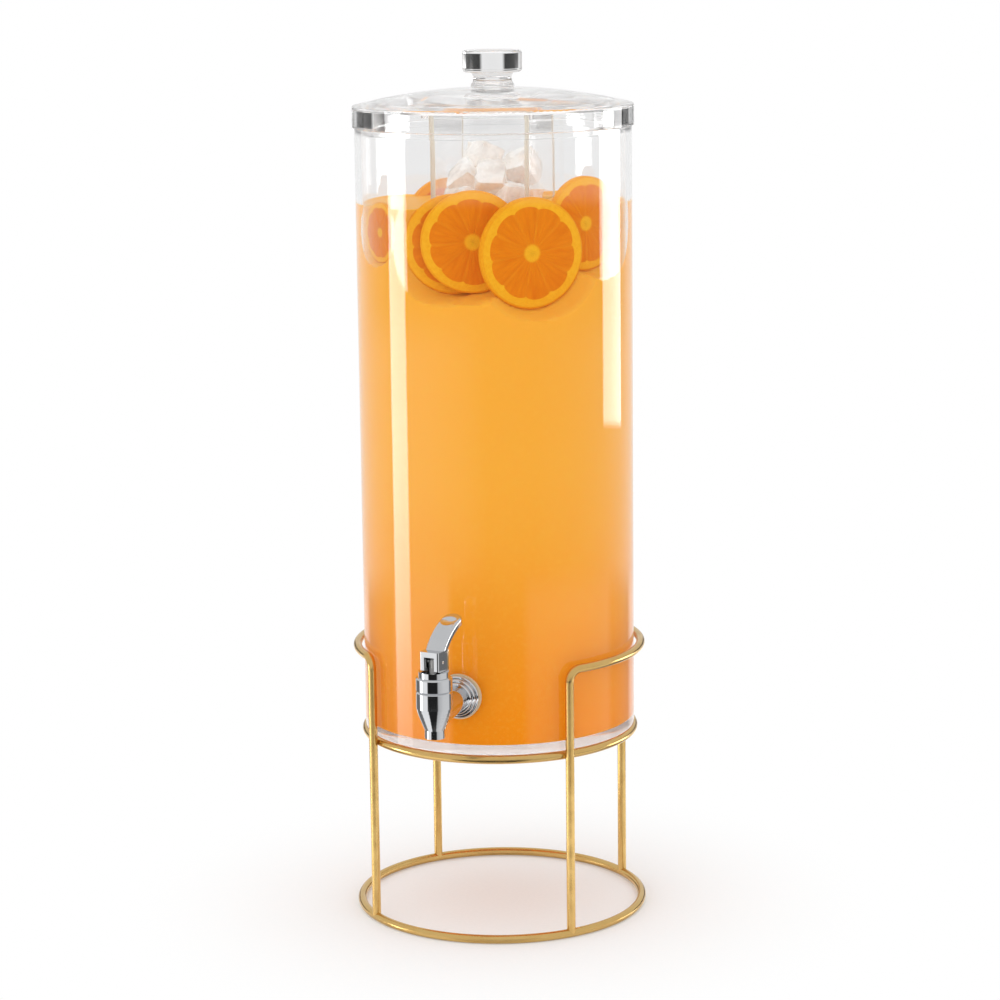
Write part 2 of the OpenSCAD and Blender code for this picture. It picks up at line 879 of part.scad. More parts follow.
// Outline of the spigot, the foot, the waisted neck and the round-edged cap
module knob_outline() {
    bead_r = knob_foot_h / 2;
    translate([0, knob_z - knob_spigot_h])
        square([knob_spigot_d / 2, knob_spigot_h + knob_foot_h]);
    translate([0, knob_z])
        square([foot_r - bead_r, knob_foot_h]);
    translate([foot_r - bead_r, knob_z + bead_r])
        circle(r = bead_r);
    difference() {
        translate([0, neck_z])
            square([foot_r, knob_neck_h]);
        translate([neck_r + waist_r, neck_z + knob_neck_h / 2])
            circle(r = waist_r);
    }
    translate([0, cap_z])
        square([knob_r - knob_edge_r, knob_cap_h]);
    translate([0, cap_z + knob_edge_r])
        square([knob_r, knob_cap_h - 2 * knob_edge_r]);
    for (z = [cap_z + knob_edge_r, knob_top_z - knob_edge_r])
        translate([knob_r - knob_edge_r, z])
            circle(r = knob_edge_r);
}

module lid_knob() {
    color(acrylic)
        rotate_extrude()
            knob_outline();
}

base_ring();
support_ring();
hoop();
front_leg_left();
front_leg_right();
rear_leg_left();
rear_leg_right();
tank_tube();
tank_base();
outer_washer();
inner_washer();
tap_flange();
shank_nut();
tap_body();
bonnet_gasket();
tap_bonnet();
stem_o_ring();
tap_spring();
seat_cup();
valve_stem();
tap_lever();
lever_pin();
chamber_front();
chamber_rear();
chamber_left();
chamber_right();
chamber_base();
lid();
lid_knob();
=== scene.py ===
"""Looks of the round beverage dispenser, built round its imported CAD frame.

Lengths are millimetres in the row frame unless a name ends in _m, and angles
are degrees. Azimuths are seen from above: 0 is the tap's side (-Y), and they
grow towards +X.
"""

from __future__ import annotations

import logging
import math
import random
from dataclasses import dataclass
from enum import Enum, IntEnum
from typing import Iterable, Sequence, Union

import bpy
from bpy.types import Material, Mesh, MeshPolygon, Node, NodeSocket, NodeTree, Object
from mathutils import Euler, Matrix, Vector

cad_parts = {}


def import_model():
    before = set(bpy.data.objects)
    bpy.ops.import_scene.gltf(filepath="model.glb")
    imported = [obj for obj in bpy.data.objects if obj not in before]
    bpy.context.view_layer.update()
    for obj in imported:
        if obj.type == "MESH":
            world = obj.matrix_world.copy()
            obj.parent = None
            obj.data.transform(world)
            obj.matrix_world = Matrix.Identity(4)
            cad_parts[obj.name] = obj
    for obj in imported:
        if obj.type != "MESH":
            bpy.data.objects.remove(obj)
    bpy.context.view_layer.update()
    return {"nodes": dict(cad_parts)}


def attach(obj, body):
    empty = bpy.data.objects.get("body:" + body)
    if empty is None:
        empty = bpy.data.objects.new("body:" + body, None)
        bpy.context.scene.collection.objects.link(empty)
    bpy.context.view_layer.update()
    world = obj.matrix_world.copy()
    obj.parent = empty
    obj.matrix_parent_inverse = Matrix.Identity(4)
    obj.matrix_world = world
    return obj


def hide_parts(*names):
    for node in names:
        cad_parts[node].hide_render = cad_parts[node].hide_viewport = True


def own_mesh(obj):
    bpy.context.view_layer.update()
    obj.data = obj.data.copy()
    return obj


LOG = logging.getLogger("dispenser")
MM = 0.001
FULL_TURN = 2 * math.pi
WHITE = "FFFFFF"
# The specular level of a surface that the drink wets: no air lies on it, so it
# hardly mirrors.
WETTED = 0.05

Colour = tuple[float, float, float, float]
Point = tuple[float, float, float]
Face = list[int]
Setting = Union[Node, NodeSocket, float, Sequence[float]]


def linear(code: str) -> Colour:
    """Turns an sRGB hex code to a linear colour.

    Args:
        code: Six hex digits, such as "F2A03C".

    Returns:
        Red, green, blue and an alpha of 1.
    """
    shares = (int(code[i : i + 2], 16) / 255 for i in (0, 2, 4))
    red, green, blue = (
        s / 12.92 if s <= 0.04045 else ((s + 0.055) / 1.055) ** 2.4 for s in shares
    )
    return red, green, blue, 1.0


def per_metre(size: float) -> float:
    """How many times a size in millimetres goes into a metre."""
    return 1 / (size * MM)


def add(
    tree: NodeTree,
    kind: str,
    inputs: dict[Union[str, int], Setting] | None = None,
    **settings: object,
) -> Node:
    """Adds a shader node with its settings, values and links.

    Args:
        tree: The node tree that gets the node.
        kind: The node's type, such as "Math".
        inputs: What each input in use gets, by its name or number: a value, a
            socket, or a node, which gives its first output in use.
        settings: The node's own properties.

    Returns:
        The new node.
    """
    node = tree.nodes.new(f"ShaderNode{kind}")
    for name, value in settings.items():
        setattr(node, name, value)
    for key, value in (inputs or {}).items():
        named = (s for s in node.inputs if s.enabled and s.name == key)
        socket = node.inputs[key] if isinstance(key, int) else next(named)
        if isinstance(value, Node):
            value = next(s for s in value.outputs if s.enabled)
        if isinstance(value, NodeSocket):
            tree.links.new(value, socket)
        else:
            socket.default_value = value
    return node


def let_light_in(tree: NodeTree, clear: Node, shadow: str) -> Node:
    """Lets the studio's light pass straight through a clear shader.

    Args:
        tree: The node tree of the clear material.
        clear: The clear shader, which the camera and reflections see.
        shadow: The hex colour of the light that gets through.

    Returns:
        The clear shader, opened to lamps and to light from diffuse surfaces.
    """
    path = add(tree, "LightPath")
    passed = add(tree, "BsdfTransparent", {"Color": linear(shadow)})
    for ray in ("Is Diffuse Ray", "Is Shadow Ray"):
        clear = add(tree, "MixShader", {0: path.outputs[ray], 1: clear, 2: passed})
    return clear


def two_tone(
    tree: NodeTree, size: float, layers: float, thin: str, thick: str
) -> tuple[Node, Node]:
    """Lays soft clouds in two tones over a surface.

    Args:
        tree: The material's node tree.
        size: How large the clouds are, in millimetres.
        layers: How many finer layers they hold.
        thin: The hex colour where the clouds are thinnest.
        thick: The hex colour where they are thickest.

    Returns:
        How thick the clouds are, from 0 to 1, and their tone.
    """
    place = add(tree, "TexCoord").outputs["Object"]
    spread = {"Vector": place, "Scale": per_metre(size), "Detail": layers}
    clouds = add(tree, "TexNoise", spread)
    ends = {"Factor": clouds, "A": linear(thin), "B": linear(thick)}
    return clouds, add(tree, "Mix", ends, data_type="RGBA")


def smoothstep(low: float, high: float, value: float) -> float:
    """0 below low, 1 above high and a smooth rise between."""
    share = min(max((value - low) / (high - low), 0.0), 1.0)
    return share * share * (3 - 2 * share)


def facing(azimuth: float) -> Vector:
    """The level unit vector that points to an azimuth."""
    turn = math.radians(azimuth)
    return Vector((math.sin(turn), -math.cos(turn), 0.0))


def around(count: int) -> list[float]:
    """The angles of even steps round an axis, in radians."""
    return [FULL_TURN * i / count for i in range(count)]


def polar(reach: float, turn: float, height: float) -> Point:
    """The point at a reach, at an angle in radians from +X, and at a height."""
    return reach * math.cos(turn), reach * math.sin(turn), height


def band(first: int, second: int, sides: int, back: bool = False) -> list[Face]:
    """Joins two closed rings of points with faces.

    Args:
        first: The number of the first ring's first point.
        second: The number of the second ring's first point.
        sides: How many points each ring has.
        back: Whether the faces look the other way.

    Returns:
        The faces.
    """
    faces = []
    for i in range(sides):
        j = (i + 1) % sides
        face = [first + i, first + j, second + j, second + i]
        faces.append([face[0], *face[:0:-1]] if back else face)
    return faces


def make_piece(
    name: str,
    points: Iterable[Sequence[float]],
    faces: Sequence[Face],
    materials: Sequence[Material],
    parts: Sequence[int] | None = None,
    crease: float = 35.0,
) -> Object:
    """Makes one mesh piece from points in millimetres.

    Args:
        name: The piece's name.
        points: The corners, in millimetres.
        faces: The corners' numbers, face by face.
        materials: The piece's material slots.
        parts: Each face's slot, where there are several.
        crease: The angle above which an edge stays sharp.

    Returns:
        The object, at the origin and linked to the scene.
    """
    mesh = bpy.data.meshes.new(name)
    mesh.from_pydata([Vector(p) * MM for p in points], [], faces)
    for material in materials:
        mesh.materials.append(material)
    if parts is not None:
        mesh.polygons.foreach_set("material_index", parts)
    mesh.shade_smooth()
    mesh.set_sharp_from_angle(angle=math.radians(crease))
    mesh.update()
    made = bpy.data.objects.new(name, mesh)
    bpy.context.scene.collection.objects.link(made)
    return made


def revolve(
    profile: Sequence[tuple[float, float]], sides: int
) -> tuple[list[Point], list[Face]]:
    """Turns an open profile, which starts and ends on the Z axis, about it.

    Args:
        profile: Radius and height of each point. The two ends have radius 0.
        sides: The number of steps round the axis.

    Returns:
        The points and the faces, which point outwards when the profile runs
        from the bottom up the outside.
    """
    points: list[Point] = [(0.0, 0.0, profile[end][1]) for end in (0, -1)]
    rows = []
    for radius, height in profile[1:-1]:
        rows.append(len(points))
        points += [polar(radius, turn, height) for turn in around(sides)]
    faces: list[Face] = []
    for i in range(sides):
        j = (i + 1) % sides
        faces += [[0, rows[0] + j, rows[0] + i], [1, rows[-1] + i, rows[-1] + j]]
    for low, high in zip(rows, rows[1:]):
        faces += band(low, high, sides)
    return points, faces


def carve(body: Object, cutter: Object, crease: float) -> None:
    """Cuts one piece out of another and removes the cutter.

    Args:
        body: The piece that is cut.
        cutter: The closed shape that is taken away.
        crease: The angle above which an edge stays sharp afterwards.
    """
    cut = body.modifiers.new("cut", "BOOLEAN")
    cut.operation, cut.solver, cut.object = "DIFFERENCE", "EXACT", cutter
    graph = bpy.context.evaluated_depsgraph_get()
    whole = body.data
    body.data = bpy.data.meshes.new_from_object(body.evaluated_get(graph))
    body.modifiers.clear()
    body.data.name = whole.name
    bpy.data.objects.remove(cutter)
    bpy.data.meshes.remove(whole)
    body.data.shade_smooth()
    body.data.set_sharp_from_angle(angle=math.radians(crease))


class Finish:
    """A real material, made once and shared by the pieces that have it."""

    name: str
    _made: dict[Finish, Material] = {}

    def material(self) -> Material:
        """Gives the finish as a Blender material, built on first use.

        Returns:
            The material.
        """
        if self not in Finish._made:
            made = bpy.data.materials.new(self.name)
            made.use_nodes = True
            made.node_tree.nodes.clear()
            surface = self.shade(made.node_tree)
            add(made.node_tree, "OutputMaterial", {"Surface": surface})
            Finish._made[self] = made
        return Finish._made[self]

    def shade(self, tree: NodeTree) -> Node:
        """Builds the nodes.

        Args:
            tree: The empty node tree.

        Returns:
            The shader that goes to the output.
        """
        raise NotImplementedError


@dataclass(frozen=True)
class CastAcrylic(Finish):
    """Clear cast acrylic: colourless and very glossy, with thick edges that bend
    what is behind them, faint clouds of handling haze in the polish, and a film
    of fine dust that pales it where it is seen at a slant."""

    name: str = "cast_acrylic"
    tint: str = "FEFEFE"
    shade_tint: str = WHITE
    ior: float = 1.49
    polish: float = 0.0
    haze: float = 0.025
    haze_mm: float = 60.0
    haze_layers: float = 5.0
    haze_from: float = 0.5
    haze_full: float = 0.8
    dust: float = 0.3
    dust_soft: float = 0.4

    def shade(self, tree: NodeTree) -> Node:
        """Builds clear acrylic with haze in its polish.

        Args:
            tree: The empty node tree.

        Returns:
            The shader that goes to the output.
        """
        wear = add(
            tree,
            "TexNoise",
            {
                "Vector": add(tree, "TexCoord").outputs["Object"],
                "Scale": per_metre(self.haze_mm),
                "Detail": self.haze_layers,
            },
        )
        rough = add(
            tree,
            "MapRange",
            {
                "Value": wear,
                "From Min": self.haze_from,
                "From Max": self.haze_full,
                "To Min": self.polish,
                "To Max": self.haze,
            },
        )
        body = add(
            tree,
            "BsdfPrincipled",
            {
                "Base Color": linear(self.tint),
                "Roughness": rough,
                "IOR": self.ior,
                "Transmission Weight": 1.0,
                "Sheen Weight": self.dust,
                "Sheen Roughness": self.dust_soft,
            },
        )
        return let_light_in(tree, body, self.shade_tint)


@dataclass(frozen=True)
class SawnAcrylic(Finish):
    """The sawn and glued edge of an acrylic sheet: a milky, faintly warm line
    with saw marks across it."""

    name: str = "sawn_acrylic_edge"
    pale: str = "EFEBE0"
    dull: str = "D9D3C4"
    # Real saw marks lie about 0.2 mm apart; these are coarser, so that they show.
    mark_mm: float = 1.2
    mark_layers: float = 3.0
    rough: float = 0.5
    ior: float = 1.49
    glow: float = 0.35

    def shade(self, tree: NodeTree) -> Node:
        """Builds the milky edge.

        Args:
            tree: The empty node tree.

        Returns:
            The shader that goes to the output.
        """
        _, tone = two_tone(tree, self.mark_mm, self.mark_layers, self.dull, self.pale)
        return add(
            tree,
            "BsdfPrincipled",
            {
                "Base Color": tone,
                "Roughness": self.rough,
                "IOR": self.ior,
                "Transmission Weight": self.glow,
            },
        )


@dataclass(frozen=True)
class BrightMetal(Finish):
    """Bright metal: a mirror with slight clouds in its tone and in its polish."""

    name: str
    light: str
    deep: str
    smooth: float
    worn: float
    # Polishing and handling leave clouds about as wide as a finger.
    cloud_mm: float = 14.0
    cloud_layers: float = 4.0
    worn_from: float = 0.3
    worn_full: float = 0.7

    def shade(self, tree: NodeTree) -> Node:
        """Builds the mirror.

        Args:
            tree: The empty node tree.

        Returns:
            The shader that goes to the output.
        """
        cloud, tone = two_tone(
            tree, self.cloud_mm, self.cloud_layers, self.light, self.deep
        )
        rough = add(
            tree,
            "MapRange",
            {
                "Value": cloud,
                "From Min": self.worn_from,
                "From Max": self.worn_full,
                "To Min": self.smooth,
                "To Max": self.worn,
            },
        )
        return add(
            tree,
            "BsdfPrincipled",
            {"Base Color": tone, "Metallic": 1.0, "Roughness": rough},
        )


@dataclass(frozen=True)
class SoftPlastic(Finish):
    """A moulded rubber or plastic: an even, dull surface with a fine moulded
    grain that shows in tone and relief."""

    name: str
    light: str
    deep: str
    rough: float
    ior: float
    glow: float = 0.0
    # Real mould grain is about 0.1 mm; this is coarser, so that it shows.
    grain_mm: float = 0.8
    grain_layers: float = 2.0
    relief_mm: float = 0.02

    def shade(self, tree: NodeTree) -> Node:
        """Builds the grained surface.

        Args:
            tree: The empty node tree.

        Returns:
            The shader that goes to the output.
        """
        grain, tone = two_tone(
            tree, self.grain_mm, self.grain_layers, self.light, self.deep
        )
        relief = add(tree, "Bump", {"Height": grain, "Distance": self.relief_mm * MM})
        return add(
            tree,
            "BsdfPrincipled",
            {
                "Base Color": tone,
                "Roughness": self.rough,
                "IOR": self.ior,
                "Transmission Weight": self.glow,
                "Normal": relief,
            },
        )


@dataclass(frozen=True)
class OrangeJuice(Finish):
    """Cloudy orange juice: light spreads inside it, so it glows softly. It is
    painted paler and yellower above and deeper towards the floor, a painted
    shade from top to bottom, and fine pulp clouds its tone."""

    name: str = "cloudy_orange_juice"
    pale: str = "F3AA3A"
    deep: str = "F08D12"
    pulp: str = "F7B848"
    # The painted shade runs between these heights, from the deep tone below to the pale
    # tone above.
    low: float = 160.0
    high: float = 380.0
    cloud_mm: float = 45.0
    cloud_layers: float = 3.0
    # Shreds of pulp are about this long.
    pulp_mm: float = 2.5
    pulp_layers: float = 2.0
    pulp_from: float = 0.5
    pulp_full: float = 0.8
    pulp_share: float = 0.22
    rough: float = 0.35
    ior: float = 1.35
    glow: float = 0.25
    spread_mm: float = 9.0
    spread_rgb: Point = (1.0, 0.5, 0.15)

    def shade(self, tree: NodeTree) -> Node:
        """Builds the cloudy drink.

        Args:
            tree: The empty node tree.

        Returns:
            The shader that goes to the output.
        """
        place = add(tree, "TexCoord").outputs["Object"]
        height = add(tree, "SeparateXYZ", {"Vector": place}).outputs["Z"]
        clouds, bits = (
            add(
                tree,
                "TexNoise",
                {"Vector": place, "Scale": per_metre(size), "Detail": layers},
            )
            for size, layers in (
                (self.cloud_mm, self.cloud_layers),
                (self.pulp_mm, self.pulp_layers),
            )
        )
        lift = add(
            tree,
            "Math",
            {0: clouds, 1: self.cloud_mm * MM, 2: height},
            operation="MULTIPLY_ADD",
        )
        # Painted shade: the drink's tone is deeper towards the floor and paler above.
        painted_height_shade = add(
            tree,
            "MapRange",
            {"Value": lift, "From Min": self.low * MM, "From Max": self.high * MM},
            interpolation_type="SMOOTHSTEP",
        )
        tone = add(
            tree,
            "Mix",
            {"Factor": painted_height_shade, "A": linear(self.deep), "B": linear(self.pale)},
            data_type="RGBA",
        )
        share = add(
            tree,
            "MapRange",
            {
                "Value": bits,
                "From Min": self.pulp_from,
                "From Max": self.pulp_full,
                "To Max": self.pulp_share,
            },
        )
        flecked = add(
            tree,
            "Mix",
            {"Factor": share, "A": tone, "B": linear(self.pulp)},
            data_type="RGBA",
        )
        return add(
            tree,
            "BsdfPrincipled",
            {
                "Base Color": flecked,
                "Roughness": self.rough,
                "IOR": self.ior,
                "Specular IOR Level": WETTED,
                "Subsurface Weight": self.glow,
                "Subsurface Radius": self.spread_rgb,
                "Subsurface Scale": self.spread_mm * MM,
            },
        )


@dataclass(frozen=True)
class OrangeFlesh(Finish):
    """Cut orange: wet wedges of long juice cells that fan out from a pale core,
    with thin paler skins between the wedges."""

    name: str = "orange_flesh"
    cell: str = "E07606"
    bright: str = "EA860C"
    skin: str = "EE961A"
    core: str = "F4B022"
    wedges: int = 10
    whole_turns: float = 20.0
    core_mm: float = 5.0
    core_fade: float = 1.4
    skin_share: float = 0.03
    skin_fade: float = 3.0
    skin_show: float = 0.28
    cell_mm: float = 4.5
    cell_stretch: float = 0.35
    cells_per_radian: float = 9.0
    cell_random: float = 0.9
    relief_mm: float = 0.25
    rough: float = 0.3
    ior: float = 1.36
    glow: float = 0.15
    spread_mm: float = 3.0
    spread_rgb: Point = (1.0, 0.4, 0.1)

    def shade(self, tree: NodeTree) -> Node:
        """Builds the wedges, their skins and the core.

        Args:
            tree: The empty node tree.

        Returns:
            The shader that goes to the output.
        """
        place = add(tree, "TexCoord").outputs["Object"]
        x, y, z = add(tree, "SeparateXYZ", {"Vector": place}).outputs
        flat = add(tree, "CombineXYZ", {"X": x, "Y": y})
        away = add(tree, "VectorMath", {0: flat}, operation="LENGTH")
        turn = add(tree, "Math", {0: y, 1: x}, operation="ARCTAN2")
        # The whole turns keep the wedge's number above 0.
        wedge = add(
            tree,
            "Math",
            {0: turn, 1: self.wedges / FULL_TURN, 2: self.whole_turns},
            operation="MULTIPLY_ADD",
        )
        within = add(tree, "Math", {0: wedge, 1: 0.5}, operation="PINGPONG")
        between = add(
            tree,
            "MapRange",
            {
                "Value": within,
                "From Min": self.skin_share,
                "From Max": self.skin_fade * self.skin_share,
                "To Min": self.skin_show,
                "To Max": 0.0,
            },
        )
        fan = add(tree, "CombineXYZ", {"X": away, "Y": turn, "Z": z})
        along = per_metre(self.cell_mm) * self.cell_stretch
        spread = add(
            tree,
            "VectorMath",
            {0: fan, 1: (along, self.cells_per_radian, 0.0)},
            operation="MULTIPLY",
        )
        cells = add(
            tree,
            "TexVoronoi",
            {"Vector": spread, "Scale": 1.0, "Randomness": self.cell_random},
        )
        middle = add(
            tree,
            "MapRange",
            {
                "Value": away,
                "From Min": self.core_mm * MM,
                "From Max": self.core_fade * self.core_mm * MM,
                "To Min": 1.0,
                "To Max": 0.0,
            },
        )
        tone: Setting = linear(self.bright)
        for share, colour in (
            (cells, self.cell),
            (between, self.skin),
            (middle, self.core),
        ):
            tone = add(
                tree,
                "Mix",
                {"Factor": share, "A": tone, "B": linear(colour)},
                data_type="RGBA",
            )
        relief = add(tree, "Bump", {"Height": cells, "Distance": self.relief_mm * MM})
        return add(
            tree,
            "BsdfPrincipled",
            {
                "Base Color": tone,
                "Roughness": self.rough,
                "IOR": self.ior,
                "Specular IOR Level": WETTED,
                "Subsurface Weight": self.glow,
                "Subsurface Radius": self.spread_rgb,
                "Subsurface Scale": self.spread_mm * MM,
                "Normal": relief,
            },
        )


@dataclass(frozen=True)
class OrangePeel(Finish):
    """Orange peel and the pith under it: waxy, with small pores."""

    name: str
    light: str
    deep: str
    # Real pores are about 0.7 mm apart; these are coarser, so that they show.
    pore_mm: float = 1.6
    relief_mm: float = 0.15
    rough: float = 0.4

    def shade(self, tree: NodeTree) -> Node:
        """Builds the pored skin.

        Args:
            tree: The empty node tree.

        Returns:
            The shader that goes to the output.
        """
        place = add(tree, "TexCoord").outputs["Object"]
        spread = {"Vector": place, "Scale": per_metre(self.pore_mm)}
        pores = add(tree, "TexVoronoi", spread)
        tone = add(
            tree,
            "Mix",
            {"Factor": pores, "A": linear(self.deep), "B": linear(self.light)},
            data_type="RGBA",
        )
        relief = add(tree, "Bump", {"Height": pores, "Distance": self.relief_mm * MM})
        return add(
            tree,
            "BsdfPrincipled",
            {
                "Base Color": tone,
                "Roughness": self.rough,
                "Specular IOR Level": WETTED,
                "Normal": relief,
            },
        )


@dataclass(frozen=True)
class ClearIce(Finish):
    """Ice lumps: clear at the skin and cloudy white inside, where air froze in,
    with a wet, slightly uneven surface."""

    name: str = "cloudy_ice"
    clear: str = "FAFAF8"
    cloud: str = "F7F6F2"
    shadow: str = "FDFDFC"
    ior: float = 1.31
    rough: float = 0.08
    cloud_mm: float = 12.0
    cloud_layers: float = 4.0
    cloud_from: float = 0.4
    cloud_full: float = 0.62
    clear_share: float = 0.5
    cloud_share: float = 0.12
    ripple_mm: float = 6.0
    relief_mm: float = 0.6

    def shade(self, tree: NodeTree) -> Node:
        """Builds the cloudy ice.

        Args:
            tree: The empty node tree.

        Returns:
            The shader that goes to the output.
        """
        fog, tone = two_tone(
            tree, self.cloud_mm, self.cloud_layers, self.clear, self.cloud
        )
        clear = add(
            tree,
            "MapRange",
            {
                "Value": fog,
                "From Min": self.cloud_from,
                "From Max": self.cloud_full,
                "To Min": self.clear_share,
                "To Max": self.cloud_share,
            },
        )
        place = add(tree, "TexCoord").outputs["Object"]
        spread = {"Vector": place, "Scale": per_metre(self.ripple_mm)}
        ripples = add(tree, "TexNoise", spread)
        relief = add(
            tree, "Bump", {"Height": ripples, "Distance": self.relief_mm * MM}
        )
        body = add(
            tree,
            "BsdfPrincipled",
            {
                "Base Color": tone,
                "Roughness": self.rough,
                "IOR": self.ior,
                "Transmission Weight": clear,
                "Normal": relief,
            },
        )
        return let_light_in(tree, body, self.shadow)


@dataclass(frozen=True)
class StudioFloor(Finish):
    """White paper: it takes the object's shadow close by. Further out the camera
    sees it lit to white, and reflections see the studio's panels instead."""

    name: str = "white_paper_floor"
    paper: str = "EFEFEF"
    fibre: str = "F6F6F6"
    # Real fibres are far finer; these are coarser, so that they show.
    fibre_mm: float = 2.5
    fibre_layers: float = 2.0
    rough: float = 0.9
    near_m: float = 0.02
    far_m: float = 0.30

    def shade(self, tree: NodeTree) -> Node:
        """Builds the paper, which gives way to white further out.

        Args:
            tree: The empty node tree.

        Returns:
            The shader that goes to the output.
        """
        place = add(tree, "TexCoord").outputs["Object"]
        away = add(tree, "VectorMath", {0: place}, operation="LENGTH")
        lit = add(
            tree,
            "MapRange",
            {"Value": away, "From Min": self.near_m, "From Max": self.far_m},
            interpolation_type="SMOOTHSTEP",
        )
        _, tone = two_tone(
            tree, self.fibre_mm, self.fibre_layers, self.paper, self.fibre
        )
        paper = add(
            tree,
            "BsdfPrincipled",
            {"Base Color": tone, "Roughness": self.rough, "Specular IOR Level": 0.0},
        )
        direct = add(tree, "LightPath").outputs["Is Camera Ray"]
        gone = add(tree, "BsdfTransparent")
        white = add(tree, "Emission", {"Strength": 1.0})
        seen = add(tree, "MixShader", {0: direct, 1: gone, 2: white})
        return add(tree, "MixShader", {0: lit, 1: paper, 2: seen})


ACRYLIC = CastAcrylic()
SAWN_EDGE = SawnAcrylic()
# Brass plate on drawn wire: a warm mirror, softened by the wire's draw marks.
GOLD = BrightMetal("brass_plated_wire", "E6C480", "D8AE66", smooth=0.14, worn=0.26)
# Chrome plate on polished brass: a cool mirror, nearly perfect.
CHROME = BrightMetal("chrome_plate", "DADBDD", "CDCFD2", smooth=0.015, worn=0.05)
# Drawn stainless steel: greyer and duller than plating.
STEEL = BrightMetal("stainless_steel", "B9B8B5", "A2A19E", smooth=0.22, worn=0.36)
# Moulded silicone: cream, and lit a little from inside.
SILICONE = SoftPlastic("silicone_rubber", "EBDDBD", "DDCDA8", 0.45, 1.41, glow=0.25)
# Moulded nylon: off-white and dull.
NYLON = SoftPlastic("white_nylon", "F0EEE8", "E2DFD7", 0.5, 1.53)
JUICE = OrangeJuice()
FLESH = OrangeFlesh()
# The soft layer under the peel: yellower, and almost without pores.
PITH = OrangePeel("orange_pith", "F6B222", "F0A414", pore_mm=2.5, relief_mm=0.05)
# The peel's skin: deeper in colour, with clear pores.
PEEL = OrangePeel("orange_peel", "F2A61C", "EA930E")
ICE = ClearIce()
PAPER = StudioFloor()


class Body(Enum):
    """The CAD bodies that pieces of the scene ride on."""

    TANK = "tank"
    CHAMBER = "ice_chamber"


class Slot(Enum):
    """The record's material slots of pieces that stand in for CAD nodes."""

    ACRYLIC = "clear_acrylic"
    STEEL = "stainless"


class Layer(IntEnum):
    """What the cut of a slice shows, from its middle out, by material slot."""

    FLESH = 0
    PITH = 1
    PEEL = 2


@dataclass
class CadNodes:
    """The CAD nodes that are shown as they were packed, dressed by finish."""

    nodes: dict[str, Object]
    wires: tuple[str, ...] = (
        "base_ring",
        "support_ring",
        "hoop",
        "front_leg_left",
        "front_leg_right",
        "rear_leg_left",
        "rear_leg_right",
    )
    clear: tuple[str, ...] = ("lid", "lid_knob")
    plated: tuple[str, ...] = ("tap_flange", "tap_body", "tap_bonnet", "tap_lever")
    steel: tuple[str, ...] = ("valve_stem", "lever_pin")
    nylon: tuple[str, ...] = ("shank_nut",)
    rubber: tuple[str, ...] = (
        "outer_washer",
        "inner_washer",
        "bonnet_gasket",
        "stem_o_ring",
        "seat_cup",
    )

    def dress(self) -> None:
        """Gives every listed node its finish."""
        for names, finish in (
            (self.wires, GOLD),
            (self.clear, ACRYLIC),
            (self.plated, CHROME),
            (self.steel, STEEL),
            (self.nylon, NYLON),
            (self.rubber, SILICONE),
        ):
            for name in names:
                materials = self.nodes[name].data.materials
                materials.clear()
                materials.append(finish.material())
                LOG.info("%s: %s", name, finish.name)


@dataclass
class IceChamber:
    """The square chamber of five acrylic sheets, with sawn edges."""

    nodes: dict[str, Object]
    sheets: tuple[str, ...] = (
        "chamber_front",
        "chamber_rear",
        "chamber_left",
        "chamber_right",
        "chamber_base",
    )
    edge_width: float = 5.0

    def dress(self) -> None:
        """Gives each sheet clear faces and sawn edges."""
        for name in self.sheets:
            mesh = self.nodes[name].data
            mesh.materials.clear()
            for finish in (ACRYLIC, SAWN_EDGE):
                mesh.materials.append(finish.material())
            for face in mesh.polygons:
                face.material_index = int(self.is_edge(mesh, face))
            LOG.info("%s: clear with sawn edges", name)

    def is_edge(self, mesh: Mesh, face: MeshPolygon) -> bool:
        """Tells a sheet's edge from its broad faces.

        Args:
            mesh: The sheet's mesh.
            face: One face of it.

        Returns:
            True for a face no wider than a sheet is thick.
        """
        corners = [mesh.vertices[i].co for i in face.vertices]
        spans = sorted(
            (max(c[i] for c in corners) - min(c[i] for c in corners)) / MM
            for i in range(3)
        )
        return spans[1] < self.edge_width


